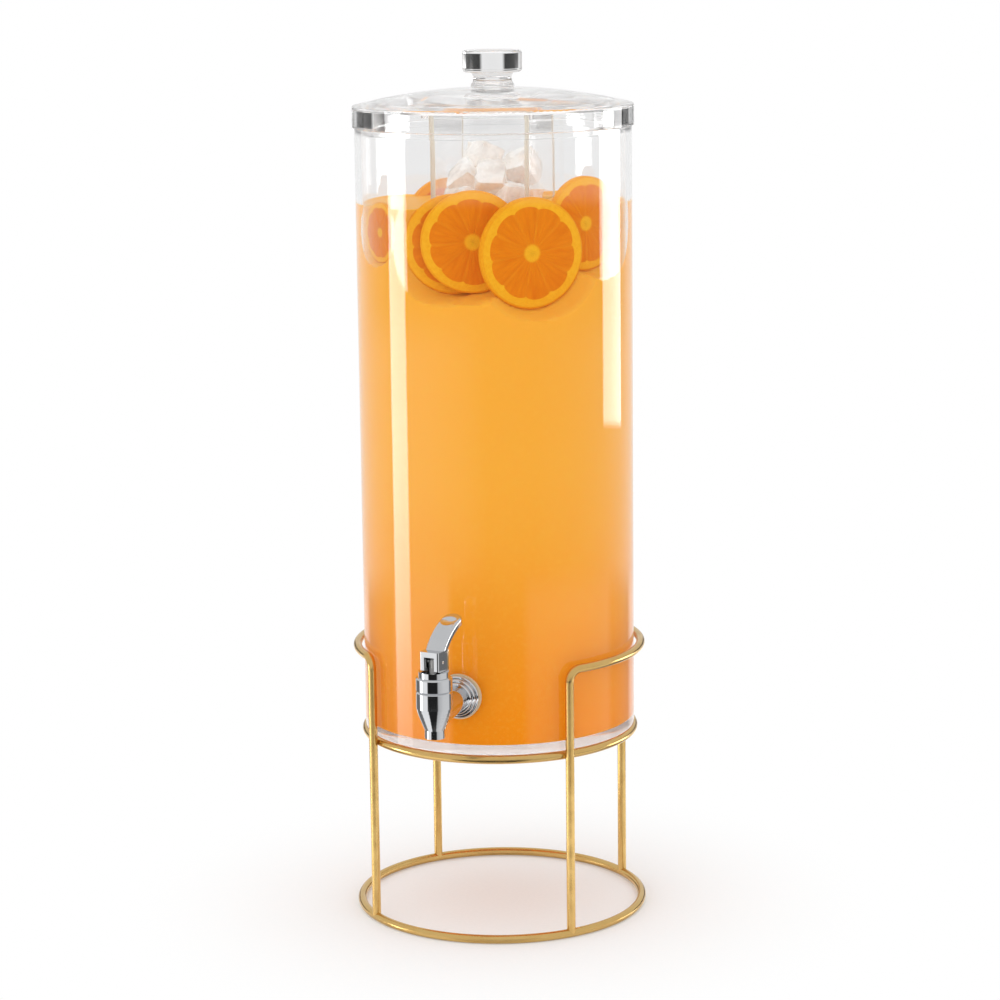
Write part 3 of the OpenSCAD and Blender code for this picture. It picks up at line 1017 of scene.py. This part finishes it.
@dataclass
class Vessel:
    """The tank's tube and floor as the one clear piece that bonding makes them."""

    outer_r: float = 101.5
    inner_r: float = 96.7
    bottom: float = 140.9
    floor: float = 147.3
    rim: float = 588.9
    bevel: float = 0.4
    rim_round: float = 0.8
    floor_fillet: float = 1.2
    round_step: float = 22.5
    hold: float = 0.6
    hole_r: float = 8.6
    hole_z: float = 184.5
    belt: float = 12.0
    sides: int = 288
    drill_sides: int = 48
    drill_out: float = 5.0
    drill_in: float = 8.0
    crease: float = 30.0

    def profile(self) -> list[tuple[float, float]]:
        """Draws the half section.

        Returns:
            Radius and height of its points, from the middle of the underside to
            the middle of the floor.
        """
        low, high = self.hole_z - self.belt, self.hole_z + self.belt
        inner, outer, top = self.inner_r, self.outer_r, self.rim
        r, f = self.rim_round, self.floor_fillet
        quarter = [math.radians(self.round_step * k) for k in range(5)]
        bends = [(1 - math.cos(t), 1 - math.sin(t)) for t in quarter]
        return [
            (0.0, self.bottom),
            (outer - self.bevel, self.bottom),
            (outer, self.bottom + self.bevel),
            (outer, low),
            (outer, high),
            (outer, top - r - self.hold),
            *((outer - r * c, top - r * s) for c, s in bends),
            *((inner + r * s, top - r * c) for c, s in bends),
            (inner, top - r - self.hold),
            (inner, high),
            (inner, low),
            (inner, self.floor + f + self.hold),
            *((inner - f * c, self.floor + f * s) for c, s in bends),
            (inner - f - self.hold, self.floor),
            (0.0, self.floor),
        ]

    def build(self) -> Object:
        """Builds the tank with its tap hole.

        Returns:
            The tank.
        """
        clear, count = [ACRYLIC.material()], self.drill_sides
        tank = make_piece("tank", *revolve(self.profile(), self.sides), clear)
        ring = [
            (self.hole_r * math.cos(t), y, self.hole_z + self.hole_r * math.sin(t))
            for y in (-self.outer_r - self.drill_out, -self.inner_r + self.drill_in)
            for t in around(count)
        ]
        ends = [list(range(count))[::-1], list(range(count, 2 * count))]
        drill = make_piece("drill", ring, band(0, count, count) + ends, clear)
        carve(tank, drill, self.crease)
        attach(tank, Body.TANK.value)
        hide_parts("tank_tube", "tank_base")
        LOG.info("tank: %d faces", len(tank.data.polygons))
        return tank


@dataclass
class ReturnSpring:
    """The steel coil under the tap's bonnet, built at rest: it does not shorten as the
    valve lifts.
    """

    joint: str = "stem_lift"
    tap_y: float = -159.5
    low: float = 200.47
    high: float = 210.23
    travel: float = 1.676
    mean_r: float = 5.5
    wire_r: float = 0.48
    turns: int = 5
    steps: int = 200
    sides: int = 12

    def build(self) -> Object:
        """Builds the coil at rest.

        Returns:
            The coil.
        """
        foot = self.low + self.wire_r
        rise = (self.high - self.wire_r - foot) / self.steps
        points: list[Point] = []
        for k in range(self.steps + 1):
            turn = FULL_TURN * self.turns * k / self.steps
            for bend in around(self.sides):
                reach = self.mean_r + self.wire_r * math.cos(bend)
                height = foot + rise * k + self.wire_r * math.sin(bend)
                x, y, z = polar(reach, turn, height)
                points.append((x, self.tap_y + y, z))
        last = self.steps * self.sides
        faces = [list(range(self.sides)), list(range(last, last + self.sides))[::-1]]
        for row in range(0, last, self.sides):
            faces += band(row, row + self.sides, self.sides, back=True)
        coil = make_piece("return_spring", points, faces, [STEEL.material()])
        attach(coil, Body.TANK.value)
        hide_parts("tap_spring")
        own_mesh(coil)
        LOG.info("return_spring: %d faces", len(faces))
        return coil


@dataclass(frozen=True)
class SlicePlace:
    """Where one slice leans in the drink.

    Attributes:
        azimuth: The way its middle lies from the tank's axis.
        reach: How far its middle is from that axis.
        height: How high its middle is.
        faces: The azimuth that its front looks to.
        spin: How far it is turned in its own plane.
        scale: Its size beside the largest slice.
    """

    azimuth: float
    reach: float
    height: float
    faces: float
    spin: float
    scale: float

    def middle(self) -> Vector:
        """The slice's middle, in millimetres."""
        return facing(self.azimuth) * self.reach + Vector((0, 0, self.height))


SLICE_PLACES = (
    SlicePlace(35.2, 80.0, 503.0, faces=43.0, spin=8.0, scale=1.02),
    SlicePlace(4.8, 73.5, 511.0, faces=16.8, spin=40.0, scale=0.94),
    SlicePlace(-6.5, 71.0, 509.0, faces=14.0, spin=75.0, scale=0.92),
    SlicePlace(-43.0, 91.6, 516.0, faces=-43.0, spin=20.0, scale=0.56),
    SlicePlace(70.5, 79.0, 521.0, faces=57.0, spin=55.0, scale=0.87),
    SlicePlace(-136.0, 80.0, 510.0, faces=-136.0, spin=10.0, scale=0.92),
    SlicePlace(180.0, 80.0, 498.0, faces=180.0, spin=33.0, scale=0.97),
    SlicePlace(136.0, 80.0, 503.0, faces=136.0, spin=64.0, scale=0.9),
)


@dataclass
class OrangeSlices:
    """Round slices of orange that float at the top of the drink."""

    places: tuple[SlicePlace, ...] = SLICE_PLACES
    radius: float = 39.0
    half: float = 2.8
    core_r: float = 5.4
    core_rings: tuple[float, ...] = (0.5, 1.0, 1.6)
    core_sunk: float = 0.3
    flesh_r: float = 32.6
    flesh_rings: int = 5
    flesh_gap: float = 1.0
    flesh_sunk: float = 0.25
    swell: float = 0.45
    swell_full: float = 2.5
    swell_end: float = 2.0
    pith_r: float = 37.4
    poke: float = 2.2
    poke_reach: float = 6.0
    rim_rings: tuple[float, ...] = (1.4, 0.5, 0.1)
    rim_round: float = 1.6
    rim_drop: float = 0.9
    wedges: int = 10
    steps: int = 120
    crease: float = 60.0

    def rings(self) -> list[float]:
        """Spaces the rings of points on each face.

        Returns:
            Their radii, from the middle out.
        """
        core = [self.core_r * share for share in self.core_rings]
        step = (self.flesh_r - self.flesh_gap - core[-1]) / self.flesh_rings
        flesh = [core[-1] + step * (k + 1) for k in range(self.flesh_rings)]
        rim = [self.radius - inset for inset in self.rim_rings]
        return [*core, *flesh, self.flesh_r, self.pith_r, *rim]

    def spread(self, away: float, turn: float) -> float:
        """Bends a ring, so that the pith pokes in between the wedges.

        Args:
            away: The ring's radius.
            turn: The angle round the slice's middle, in radians.

        Returns:
            The ring's radius at that angle.
        """
        within = math.sqrt(abs(math.sin(turn * self.wedges / 2)))
        near = smoothstep(self.flesh_r - self.poke_reach, self.flesh_r, away)
        near *= 1 - smoothstep(self.flesh_r, self.pith_r, away)
        return away - self.poke * near * (1 - within)

    def lift(self, away: float, turn: float) -> float:
        """Swells the wedges and rounds the rim.

        Args:
            away: A point's distance from the slice's middle.
            turn: Its angle round the middle, in radians.

        Returns:
            How high it lies above the slice's mid plane.
        """
        if away >= self.flesh_r:
            edge = max(0.0, (away - self.radius) / self.rim_round + 1)
            return self.half - self.rim_drop * edge * edge
        within = abs(math.sin(turn * self.wedges / 2))
        fade = smoothstep(self.core_r, self.swell_full * self.core_r, away)
        fade *= 1 - smoothstep(self.flesh_r - self.swell_end, self.flesh_r, away)
        return self.half - self.flesh_sunk + self.swell * fade * math.sqrt(within)

    def layer(self, away: float) -> Layer:
        """What the cut shows in the ring that ends at a radius."""
        rind = Layer.PITH if away <= self.pith_r else Layer.PEEL
        return Layer.FLESH if away <= self.flesh_r else rind

    def mesh(self) -> Mesh:
        """Makes the one mesh that all slices share.

        Returns:
            The mesh, flat in XY and centred.
        """
        rings, turns, steps = self.rings(), around(self.steps), self.steps
        points: list[Point] = []
        for side in (1, -1):
            points.append((0.0, 0.0, side * (self.half - self.core_sunk)))
            points += [
                polar(self.spread(away, turn), turn, side * self.lift(away, turn))
                for away in rings
                for turn in turns
            ]
        waist = len(points)
        points += [polar(self.radius, turn, 0.0) for turn in turns]
        faces: list[Face] = []
        for middle in (0, waist // 2):
            first = middle + 1
            half = [[middle, first + i, first + (i + 1) % steps] for i in range(steps)]
            rows = [first + k * steps for k in range(len(rings))] + [waist]
            for inner, outer in zip(rows, rows[1:]):
                half += band(inner, outer, steps, back=True)
            faces += [face[::-1] for face in half] if middle else half
        layers = [Layer.FLESH, *(self.layer(away) for away in rings[1:]), Layer.PEEL]
        parts = [int(layer) for layer in layers for _ in turns] * 2
        materials = [finish.material() for finish in (FLESH, PITH, PEEL)]
        sample = make_piece("slice", points, faces, materials, parts, self.crease)
        mesh = sample.data
        bpy.data.objects.remove(sample)
        return mesh

    def build(self) -> list[Object]:
        """Builds the slices and leans them in their places.

        Returns:
            The slices.
        """
        mesh = self.mesh()
        made = []
        for number, place in enumerate(self.places, 1):
            piece = bpy.data.objects.new(f"orange_slice_{number}", mesh)
            bpy.context.scene.collection.objects.link(piece)
            turn = facing(place.faces).to_track_quat("Z", "Y").to_matrix().to_4x4()
            spin = Matrix.Rotation(math.radians(place.spin), 4, "Z")
            size = Matrix.Scale(place.scale, 4)
            spot = Matrix.Translation(place.middle() * MM)
            piece.matrix_world = spot @ turn @ spin @ size
            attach(piece, Body.TANK.value)
            made.append(piece)
            LOG.info("%s", piece.name)
        return made


@dataclass
class Juice:
    """The drink, which fills the tank round the ice chamber.

    Attributes:
        plain: The heights of the few rows of points below the slices.
        still: The height from which the rows are close.
        shares: Where the rows of the top lie, from the wall to the chamber.
        edge_on: The cosine below which a slice is too far turned to be cleared.
        least: The least reach, just outside the chamber's corners.
    """

    slices: OrangeSlices
    radius: float = 96.9
    bottom: float = 147.7
    plain: tuple[float, ...] = (207.7, 300.0, 380.0)
    still: float = 440.0
    step: float = 2.0
    level: float = 533.0
    shares: tuple[float, ...] = (0.02, 0.05, 0.1, 0.4, 0.7, 0.96, 1.0)
    cavity: float = 74.6
    least: float = 53.712
    creep: float = 1.4
    creep_width: float = 2.0
    edge_on: float = 0.15
    slope: float = 7.0
    sides: int = 360
    crease: float = 50.0

    def wall(self, turn: float, height: float) -> float:
        """How far the drink reaches from the axis, cleared in front of slices.

        Args:
            turn: The angle round the axis, in radians from +X.
            height: The height.

        Returns:
            The radius.
        """
        out = Vector((math.cos(turn), math.sin(turn), 0.0))
        reach = self.radius
        for place in self.slices.places:
            front, half = facing(place.faces), self.slices.half * place.scale
            face = place.middle() + front * half
            along = front.dot(out)
            if along < self.edge_on:
                continue
            hit = front.dot(face) / along
            spot = out * hit + Vector((0, 0, height))
            away = (spot - face).length - self.slices.radius * place.scale
            behind = hit - half
            share = smoothstep(0.0, self.slope * place.scale**2, away)
            reach = min(reach, behind + (self.radius - behind) * share)
        return max(reach, self.least)

    def square(self, turn: float) -> tuple[float, float]:
        """Finds a point of the square cavity round the chamber.

        Args:
            turn: The point's angle, in radians from +X.

        Returns:
            The point's X and Y.
        """
        c, s = math.cos(turn), math.sin(turn)
        size = self.cavity / 2 / max(abs(c), abs(s))
        return size * c, size * s

    def build(self) -> Object:
        """Builds the drink as one closed mesh.

        Returns:
            The drink.
        """
        span = self.level - self.still
        count = round(span / self.step)
        close = [self.still + span * (i + 1) / count for i in range(count)]
        turns = around(self.sides)
        points: list[Point] = []
        for height in (self.bottom, *self.plain, self.still, *close):
            lift = self.creep if height == self.level else 0.0
            points += [polar(self.wall(t, height), t, height + lift) for t in turns]
        rim = points[-self.sides :]
        for share in self.shares:
            for turn, edge in zip(turns, rim):
                x, y = self.square(turn)
                run = math.hypot(edge[0] - x, edge[1] - y)
                near = min(share, 1 - share) * run
                lift = self.creep * math.exp(-near / self.creep_width)
                x = edge[0] + (x - edge[0]) * share
                y = edge[1] + (y - edge[1]) * share
                points.append((x, y, self.level + lift))
        points += [(*self.square(turn), self.bottom) for turn in turns]
        rows = range(0, len(points), self.sides)
        faces: list[Face] = []
        for row in rows:
            faces += band(row, (row + self.sides) % len(points), self.sides)
        drink = make_piece(
            "juice", points, faces, [JUICE.material()], crease=self.crease
        )
        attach(drink, Body.TANK.value)
        LOG.info("juice: %d faces", len(faces))
        return drink


@dataclass
class IceHeap:
    """Lumps of ice that fill the chamber to just under the lid."""

    width: float = 67.0
    bottom: float = 152.0
    top: float = 556.0
    gap: float = 2.0
    lump: float = 14.2
    layer: float = 24.5
    jitter: float = 0.9
    drawn_in: float = 0.55
    least: float = 0.86
    full: float = 0.95
    dent: float = 0.09
    cuts: int = 5
    seed: int = 7
    crease: float = 38.0
    crown: tuple[Point, ...] = (
        (-6.7, -4.0, 565.0),
        (17.5, 10.0, 557.0),
        (-16.0, -14.0, 551.0),
        (3.0, -17.0, 551.0),
        (-14.0, 14.0, 552.0),
    )

    def spots(self, dice: random.Random) -> list[Vector]:
        """Stacks the lumps from the floor up, four to a layer.

        Args:
            dice: The heap's random numbers.

        Returns:
            The lumps' middles.
        """
        quarter = self.width / 4
        count = int((self.top - self.bottom) / self.layer)
        found = []
        for k in range(count):
            height = self.bottom + self.lump + self.gap + k * self.layer
            for x in (-quarter, quarter):
                for y in (-quarter, quarter):
                    shift = [dice.uniform(-self.jitter, self.jitter) for _ in range(3)]
                    found.append(Vector((x, y, height)) + Vector(shift))
        return found + [Vector(c) for c in self.crown]

    def skin(self) -> tuple[list[Vector], list[Face]]:
        """Makes one unit lump: a cube whose corners are drawn in towards a ball.

        Returns:
            Its points and faces.
        """
        points: list[Vector] = []
        found: dict[tuple[float, ...], int] = {}
        faces: list[Face] = []
        n = self.cuts + 1
        for axis in range(3):
            for side in (-1.0, 1.0):
                grid = []
                for u, v in ((u, v) for u in range(n) for v in range(n)):
                    p = [0.0, 0.0, 0.0]
                    p[axis] = side
                    p[(axis + 1) % 3] = 2 * u / self.cuts - 1
                    p[(axis + 2) % 3] = 2 * v / self.cuts - 1
                    key = tuple(round(c, 6) for c in p)
                    if key not in found:
                        found[key] = len(points)
                        ball = Vector(p).normalized()
                        points.append(Vector(p).lerp(ball, self.drawn_in))
                    grid.append(found[key])
                for a in (u * n + v for u in range(n - 1) for v in range(n - 1)):
                    quad = [grid[a], grid[a + n], grid[a + n + 1], grid[a + 1]]
                    faces.append(quad if side > 0 else quad[::-1])
        return points, faces

    def build(self) -> Object:
        """Builds the whole heap as one piece.

        Returns:
            The heap.
        """
        dice = random.Random(self.seed)
        skin, quads = self.skin()
        points: list[Vector] = []
        faces: list[Face] = []
        for spot in self.spots(dice):
            turn = Euler([dice.uniform(0, FULL_TURN) for _ in range(3)]).to_matrix()
            size = Vector([self.lump * dice.uniform(self.least, 1.0) for _ in range(3)])
            start = len(points)
            for p in skin:
                rough = self.full + dice.uniform(-self.dent, self.dent / 2)
                points.append(spot + turn @ (p * size * rough))
            faces += [[start + i for i in quad] for quad in quads]
        heap = make_piece("ice", points, faces, [ICE.material()], crease=self.crease)
        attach(heap, Body.CHAMBER.value)
        LOG.info("ice: %d faces", len(faces))
        return heap


@dataclass(frozen=True)
class Lamp:
    """One soft box, aimed at a height on the tank's axis."""

    name: str = "front_box"
    azimuth: float = -12.0
    away_m: float = 1.5
    height_m: float = 1.9
    size_m: float = 1.3
    power: float = 4.0
    aim_m: float = 0.3

    def build(self) -> Object:
        """Builds the lamp, which neither the camera nor a mirror sees.

        Returns:
            The lamp.
        """
        data = bpy.data.lights.new(self.name, "AREA")
        data.shape, data.size, data.size_y = "RECTANGLE", self.size_m, self.size_m
        data.energy = self.power
        made = bpy.data.objects.new(self.name, data)
        bpy.context.scene.collection.objects.link(made)
        spot = facing(self.azimuth) * self.away_m + Vector((0, 0, self.height_m))
        aim = Vector((0, 0, self.aim_m)) - spot
        made.location = spot
        made.rotation_euler = aim.to_track_quat("-Z", "Y").to_euler()
        made.visible_camera = made.visible_glossy = False
        return made


@dataclass(frozen=True)
class Ring:
    """A ring of white panels and dark gaps that mirrors and clear walls show.

    Attributes:
        foot: The slope at which it starts to take over from the ring below.
        full: The slope from which it shows alone.
        stops: Azimuths from the camera's side, each with how bright the ring is
            there, where 1 is white. It blends between them.
    """

    foot: float
    full: float
    stops: tuple[tuple[float, float], ...]


@dataclass(frozen=True)
class Strip:
    """A narrow bright soft box beside the set.

    Attributes:
        middle: Its middle, as an azimuth from the camera's side.
        half: Half its width, in degrees.
        foot: The slope at which its lower end is dark.
        full: The slope above which it is at full strength.
        level: How bright it is, where 1 is white.
        top: The slope at which its upper end is dark.
        top_full: The slope below which its upper end is at full strength.
        soft: How wide its soft edge is, in degrees.
    """

    middle: float
    half: float
    foot: float
    full: float
    level: float
    top: float = -2.0
    top_full: float = -3.0
    soft: float = 1.5


# The rings are named for what mirrors them most.
TAP_STOPS = (
    *((-180, 1.0), (-150, 1.0), (-142, 0.2), (-104, 0.2), (-96, 1.1), (-45, 1.1)),
    *((-39, 0.02), (19, 0.02), (27, 0.6), (60, 0.8), (104, 0.8), (112, 0.2)),
    *((142, 0.2), (150, 1.0), (180, 1.0)),
)
TANK_STOPS = (
    *((-180, 0.86), (-100, 0.86), (-60, 0.86), (-30, 0.5), (-8, 0.05), (30, 0.05)),
    *((75, 0.35), (110, 0.7), (140, 0.86), (180, 0.86)),
)
SLICE_STOPS = (
    *((-180, 0.86), (-140, 0.84), (-100, 0.2), (-60, 0.05), (80, 0.03), (120, 0.2)),
    *((145, 0.84), (180, 0.86)),
)
RIM_STOPS = (
    *((-180, 0.82), (-167, 0.82), (-163, 0.0), (-132, 0.0), (-128, 0.82)),
    *((-30, 0.82), (-16, 0.45), (16, 0.45), (30, 0.82), (119, 0.82)),
    *((123, 0.0), (163, 0.0), (167, 0.82), (180, 0.82)),
)
UNDER_RING = Ring(foot=-89.0, full=-88.0, stops=TAP_STOPS)
LEG_RING = Ring(foot=-24.0, full=-20.5, stops=((-180, 1.3), (180, 1.3)))
TAP_RING = Ring(foot=-16.2, full=-15.5, stops=TAP_STOPS)
TANK_RING = Ring(foot=-12.8, full=-11.8, stops=TANK_STOPS)
SLICE_RING = Ring(foot=-8.0, full=-6.6, stops=SLICE_STOPS)
UPPER_RING = Ring(foot=-5.1, full=-4.7, stops=((-180, 0.84), (180, 0.84)))
RIM_RING = Ring(foot=-3.64, full=-3.5, stops=RIM_STOPS)
CEILING = Ring(foot=4.0, full=9.0, stops=((-180, 0.75), (180, 0.75)))


@dataclass
class Studio:
    """The photograph's camera, and a studio of white panels with dark gaps."""

    azimuth: float = 16.8
    distance_m: float = 2.17183
    height_m: float = 0.71976
    pitch: float = 10.68
    yaw: float = -0.05
    roll: float = -0.68
    lens_mm: float = 106.36
    sensor_mm: float = 36.0
    floor_m: float = 60.0
    plain_level: float = 1.05
    bounces: int = 24
    clear_bounces: int = 32
    lamp: Lamp = Lamp()
    rings: tuple[Ring, ...] = (
        UNDER_RING,
        LEG_RING,
        TAP_RING,
        TANK_RING,
        SLICE_RING,
        UPPER_RING,
        RIM_RING,
        CEILING,
    )
    strips: tuple[Strip, ...] = (
        Strip(-89.0, 9.0, foot=-18.0, full=-9.0, level=8.0),
        Strip(115.0, 14.0, foot=-9.35, full=-9.1, level=6.0),
    )

    def build(self) -> None:
        """Builds the camera, the lamp, the floor and the surroundings."""
        self.place_camera()
        self.lamp.build()
        self.lay_floor()
        self.light_world()
        scene = bpy.context.scene
        scene.view_settings.view_transform = "Standard"
        scene.cycles.max_bounces = self.bounces
        scene.cycles.glossy_bounces = self.bounces
        scene.cycles.transmission_bounces = self.bounces
        scene.cycles.transparent_max_bounces = self.clear_bounces

    def place_camera(self) -> None:
        """Sets the camera where the photograph was taken from."""
        data = bpy.data.cameras.new("camera")
        data.sensor_width, data.lens = self.sensor_mm, self.lens_mm
        camera = bpy.data.objects.new("camera", data)
        bpy.context.scene.collection.objects.link(camera)
        pitch, roll = math.radians(self.pitch), math.radians(self.roll)
        ahead = -facing(self.azimuth + self.yaw) * math.cos(pitch)
        ahead.z = -math.sin(pitch)
        side = ahead.cross(Vector((0, 0, 1))).normalized()
        top = side.cross(ahead)
        right = side * math.cos(roll) + top * math.sin(roll)
        up = top * math.cos(roll) - side * math.sin(roll)
        turn = Matrix((right, up, -ahead)).transposed().to_4x4()
        spot = facing(self.azimuth) * self.distance_m + Vector((0, 0, self.height_m))
        camera.matrix_world = Matrix.Translation(spot) @ turn
        bpy.context.scene.camera = camera

    def lay_floor(self) -> None:
        """Lays the paper floor."""
        half = self.floor_m / 2 / MM
        ends = ((-1, -1), (1, -1), (1, 1), (-1, 1))
        corners = [(x * half, y * half, 0.0) for x, y in ends]
        floor = make_piece("floor", corners, [[0, 1, 2, 3]], [PAPER.material()])

    def light_world(self) -> None:
        """Stands the panels and strips round the object, on a white backdrop."""
        world = bpy.data.worlds.new("studio")
        bpy.context.scene.world = world
        world.use_nodes = True
        tree = world.node_tree
        tree.nodes.clear()
        way = add(tree, "TexCoord").outputs["Generated"]
        rise = add(tree, "SeparateXYZ", {"Vector": way}).outputs["Z"]
        ahead, aside = (
            add(
                tree,
                "VectorMath",
                {0: way, 1: tuple(facing(self.azimuth + turn))},
                operation="DOT_PRODUCT",
            )
            for turn in (0.0, 90.0)
        )
        turn = add(tree, "Math", {0: aside, 1: ahead}, operation="ARCTAN2")
        path = add(tree, "LightPath").outputs
        light: Setting = 1.0
        for ring in self.rings:
            light = self.stand_ring(tree, ring, turn, rise, light)
        for strip in self.strips:
            mirrored = path["Is Glossy Ray"]
            light = self.stand_strip(tree, strip, turn, rise, mirrored, light)
        bent = add(
            tree,
            "Math",
            {0: path["Is Glossy Ray"], 1: path["Is Transmission Ray"]},
            operation="MAXIMUM",
        )
        level = add(tree, "Mix", {"Factor": bent, "A": self.plain_level, "B": light})
        seen = add(tree, "Mix", {"Factor": path["Is Camera Ray"], "A": level, "B": 1.0})
        glow = add(tree, "Background", {"Color": linear(WHITE), "Strength": seen})
        add(tree, "OutputWorld", {"Surface": glow})

    def stand_ring(
        self, tree: NodeTree, ring: Ring, turn: Node, rise: NodeSocket, light: Setting
    ) -> Node:
        """Adds one ring above the light so far.

        Args:
            tree: The world's node tree.
            ring: The ring.
            turn: The ray's azimuth from the camera's side, in radians.
            rise: The sine of the ray's slope.
            light: How bright everything below the ring is.

        Returns:
            How bright it is with the ring.
        """
        share = add(
            tree,
            "MapRange",
            {"Value": turn, "From Min": -math.pi, "From Max": math.pi},
        )
        ramp = add(tree, "ValToRGB", {"Fac": share})
        stops = ramp.color_ramp.elements
        stops.remove(stops[1])
        for number, (place, level) in enumerate(ring.stops):
            stop = stops.new(place / 360 + 0.5) if number else stops[0]
            stop.color = (level, level, level, 1.0)
        above = add(
            tree,
            "MapRange",
            {
                "Value": rise,
                "From Min": math.sin(math.radians(ring.foot)),
                "From Max": math.sin(math.radians(ring.full)),
            },
            interpolation_type="SMOOTHSTEP",
        )
        return add(tree, "Mix", {"Factor": above, "A": light, "B": ramp})

    def stand_strip(
        self,
        tree: NodeTree,
        strip: Strip,
        turn: Node,
        rise: NodeSocket,
        mirrored: NodeSocket,
        light: Node,
    ) -> Node:
        """Adds one strip, which only reflections show, to the light so far.

        Args:
            tree: The world's node tree.
            strip: The strip.
            turn: The ray's azimuth from the camera's side, in radians.
            rise: The sine of the ray's slope.
            mirrored: 1 for a reflected ray and 0 for any other.
            light: How bright everything else is.

        Returns:
            How bright it is with the strip.
        """
        middle = math.radians(strip.middle)
        off = add(tree, "Math", {0: turn, 1: middle}, operation="SUBTRACT")
        apart = add(tree, "Math", {0: off}, operation="ABSOLUTE")
        inside = add(
            tree,
            "MapRange",
            {
                "Value": apart,
                "From Min": math.radians(strip.half + strip.soft / 2),
                "From Max": math.radians(strip.half - strip.soft / 2),
                "To Max": strip.level,
            },
            interpolation_type="SMOOTHSTEP",
        )
        shown: Setting = mirrored
        for dark, bright in ((strip.foot, strip.full), (strip.top, strip.top_full)):
            end = add(
                tree,
                "MapRange",
                {
                    "Value": rise,
                    "From Min": math.sin(math.radians(dark)),
                    "From Max": math.sin(math.radians(bright)),
                },
                interpolation_type="SMOOTHSTEP",
            )
            shown = add(tree, "Math", {0: shown, 1: end}, operation="MULTIPLY")
        return add(
            tree, "Math", {0: inside, 1: shown, 2: light}, operation="MULTIPLY_ADD"
        )


def main() -> None:
    """Builds the scene, piece by piece."""
    logging.basicConfig(level=logging.INFO, format="%(message)s")
    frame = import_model()
    CadNodes(frame["nodes"]).dress()
    IceChamber(frame["nodes"]).dress()
    Vessel().build()
    ReturnSpring().build()
    slices = OrangeSlices()
    slices.build()
    Juice(slices).build()
    IceHeap().build()
    Studio().build()


if __name__ == "__main__":
    main()
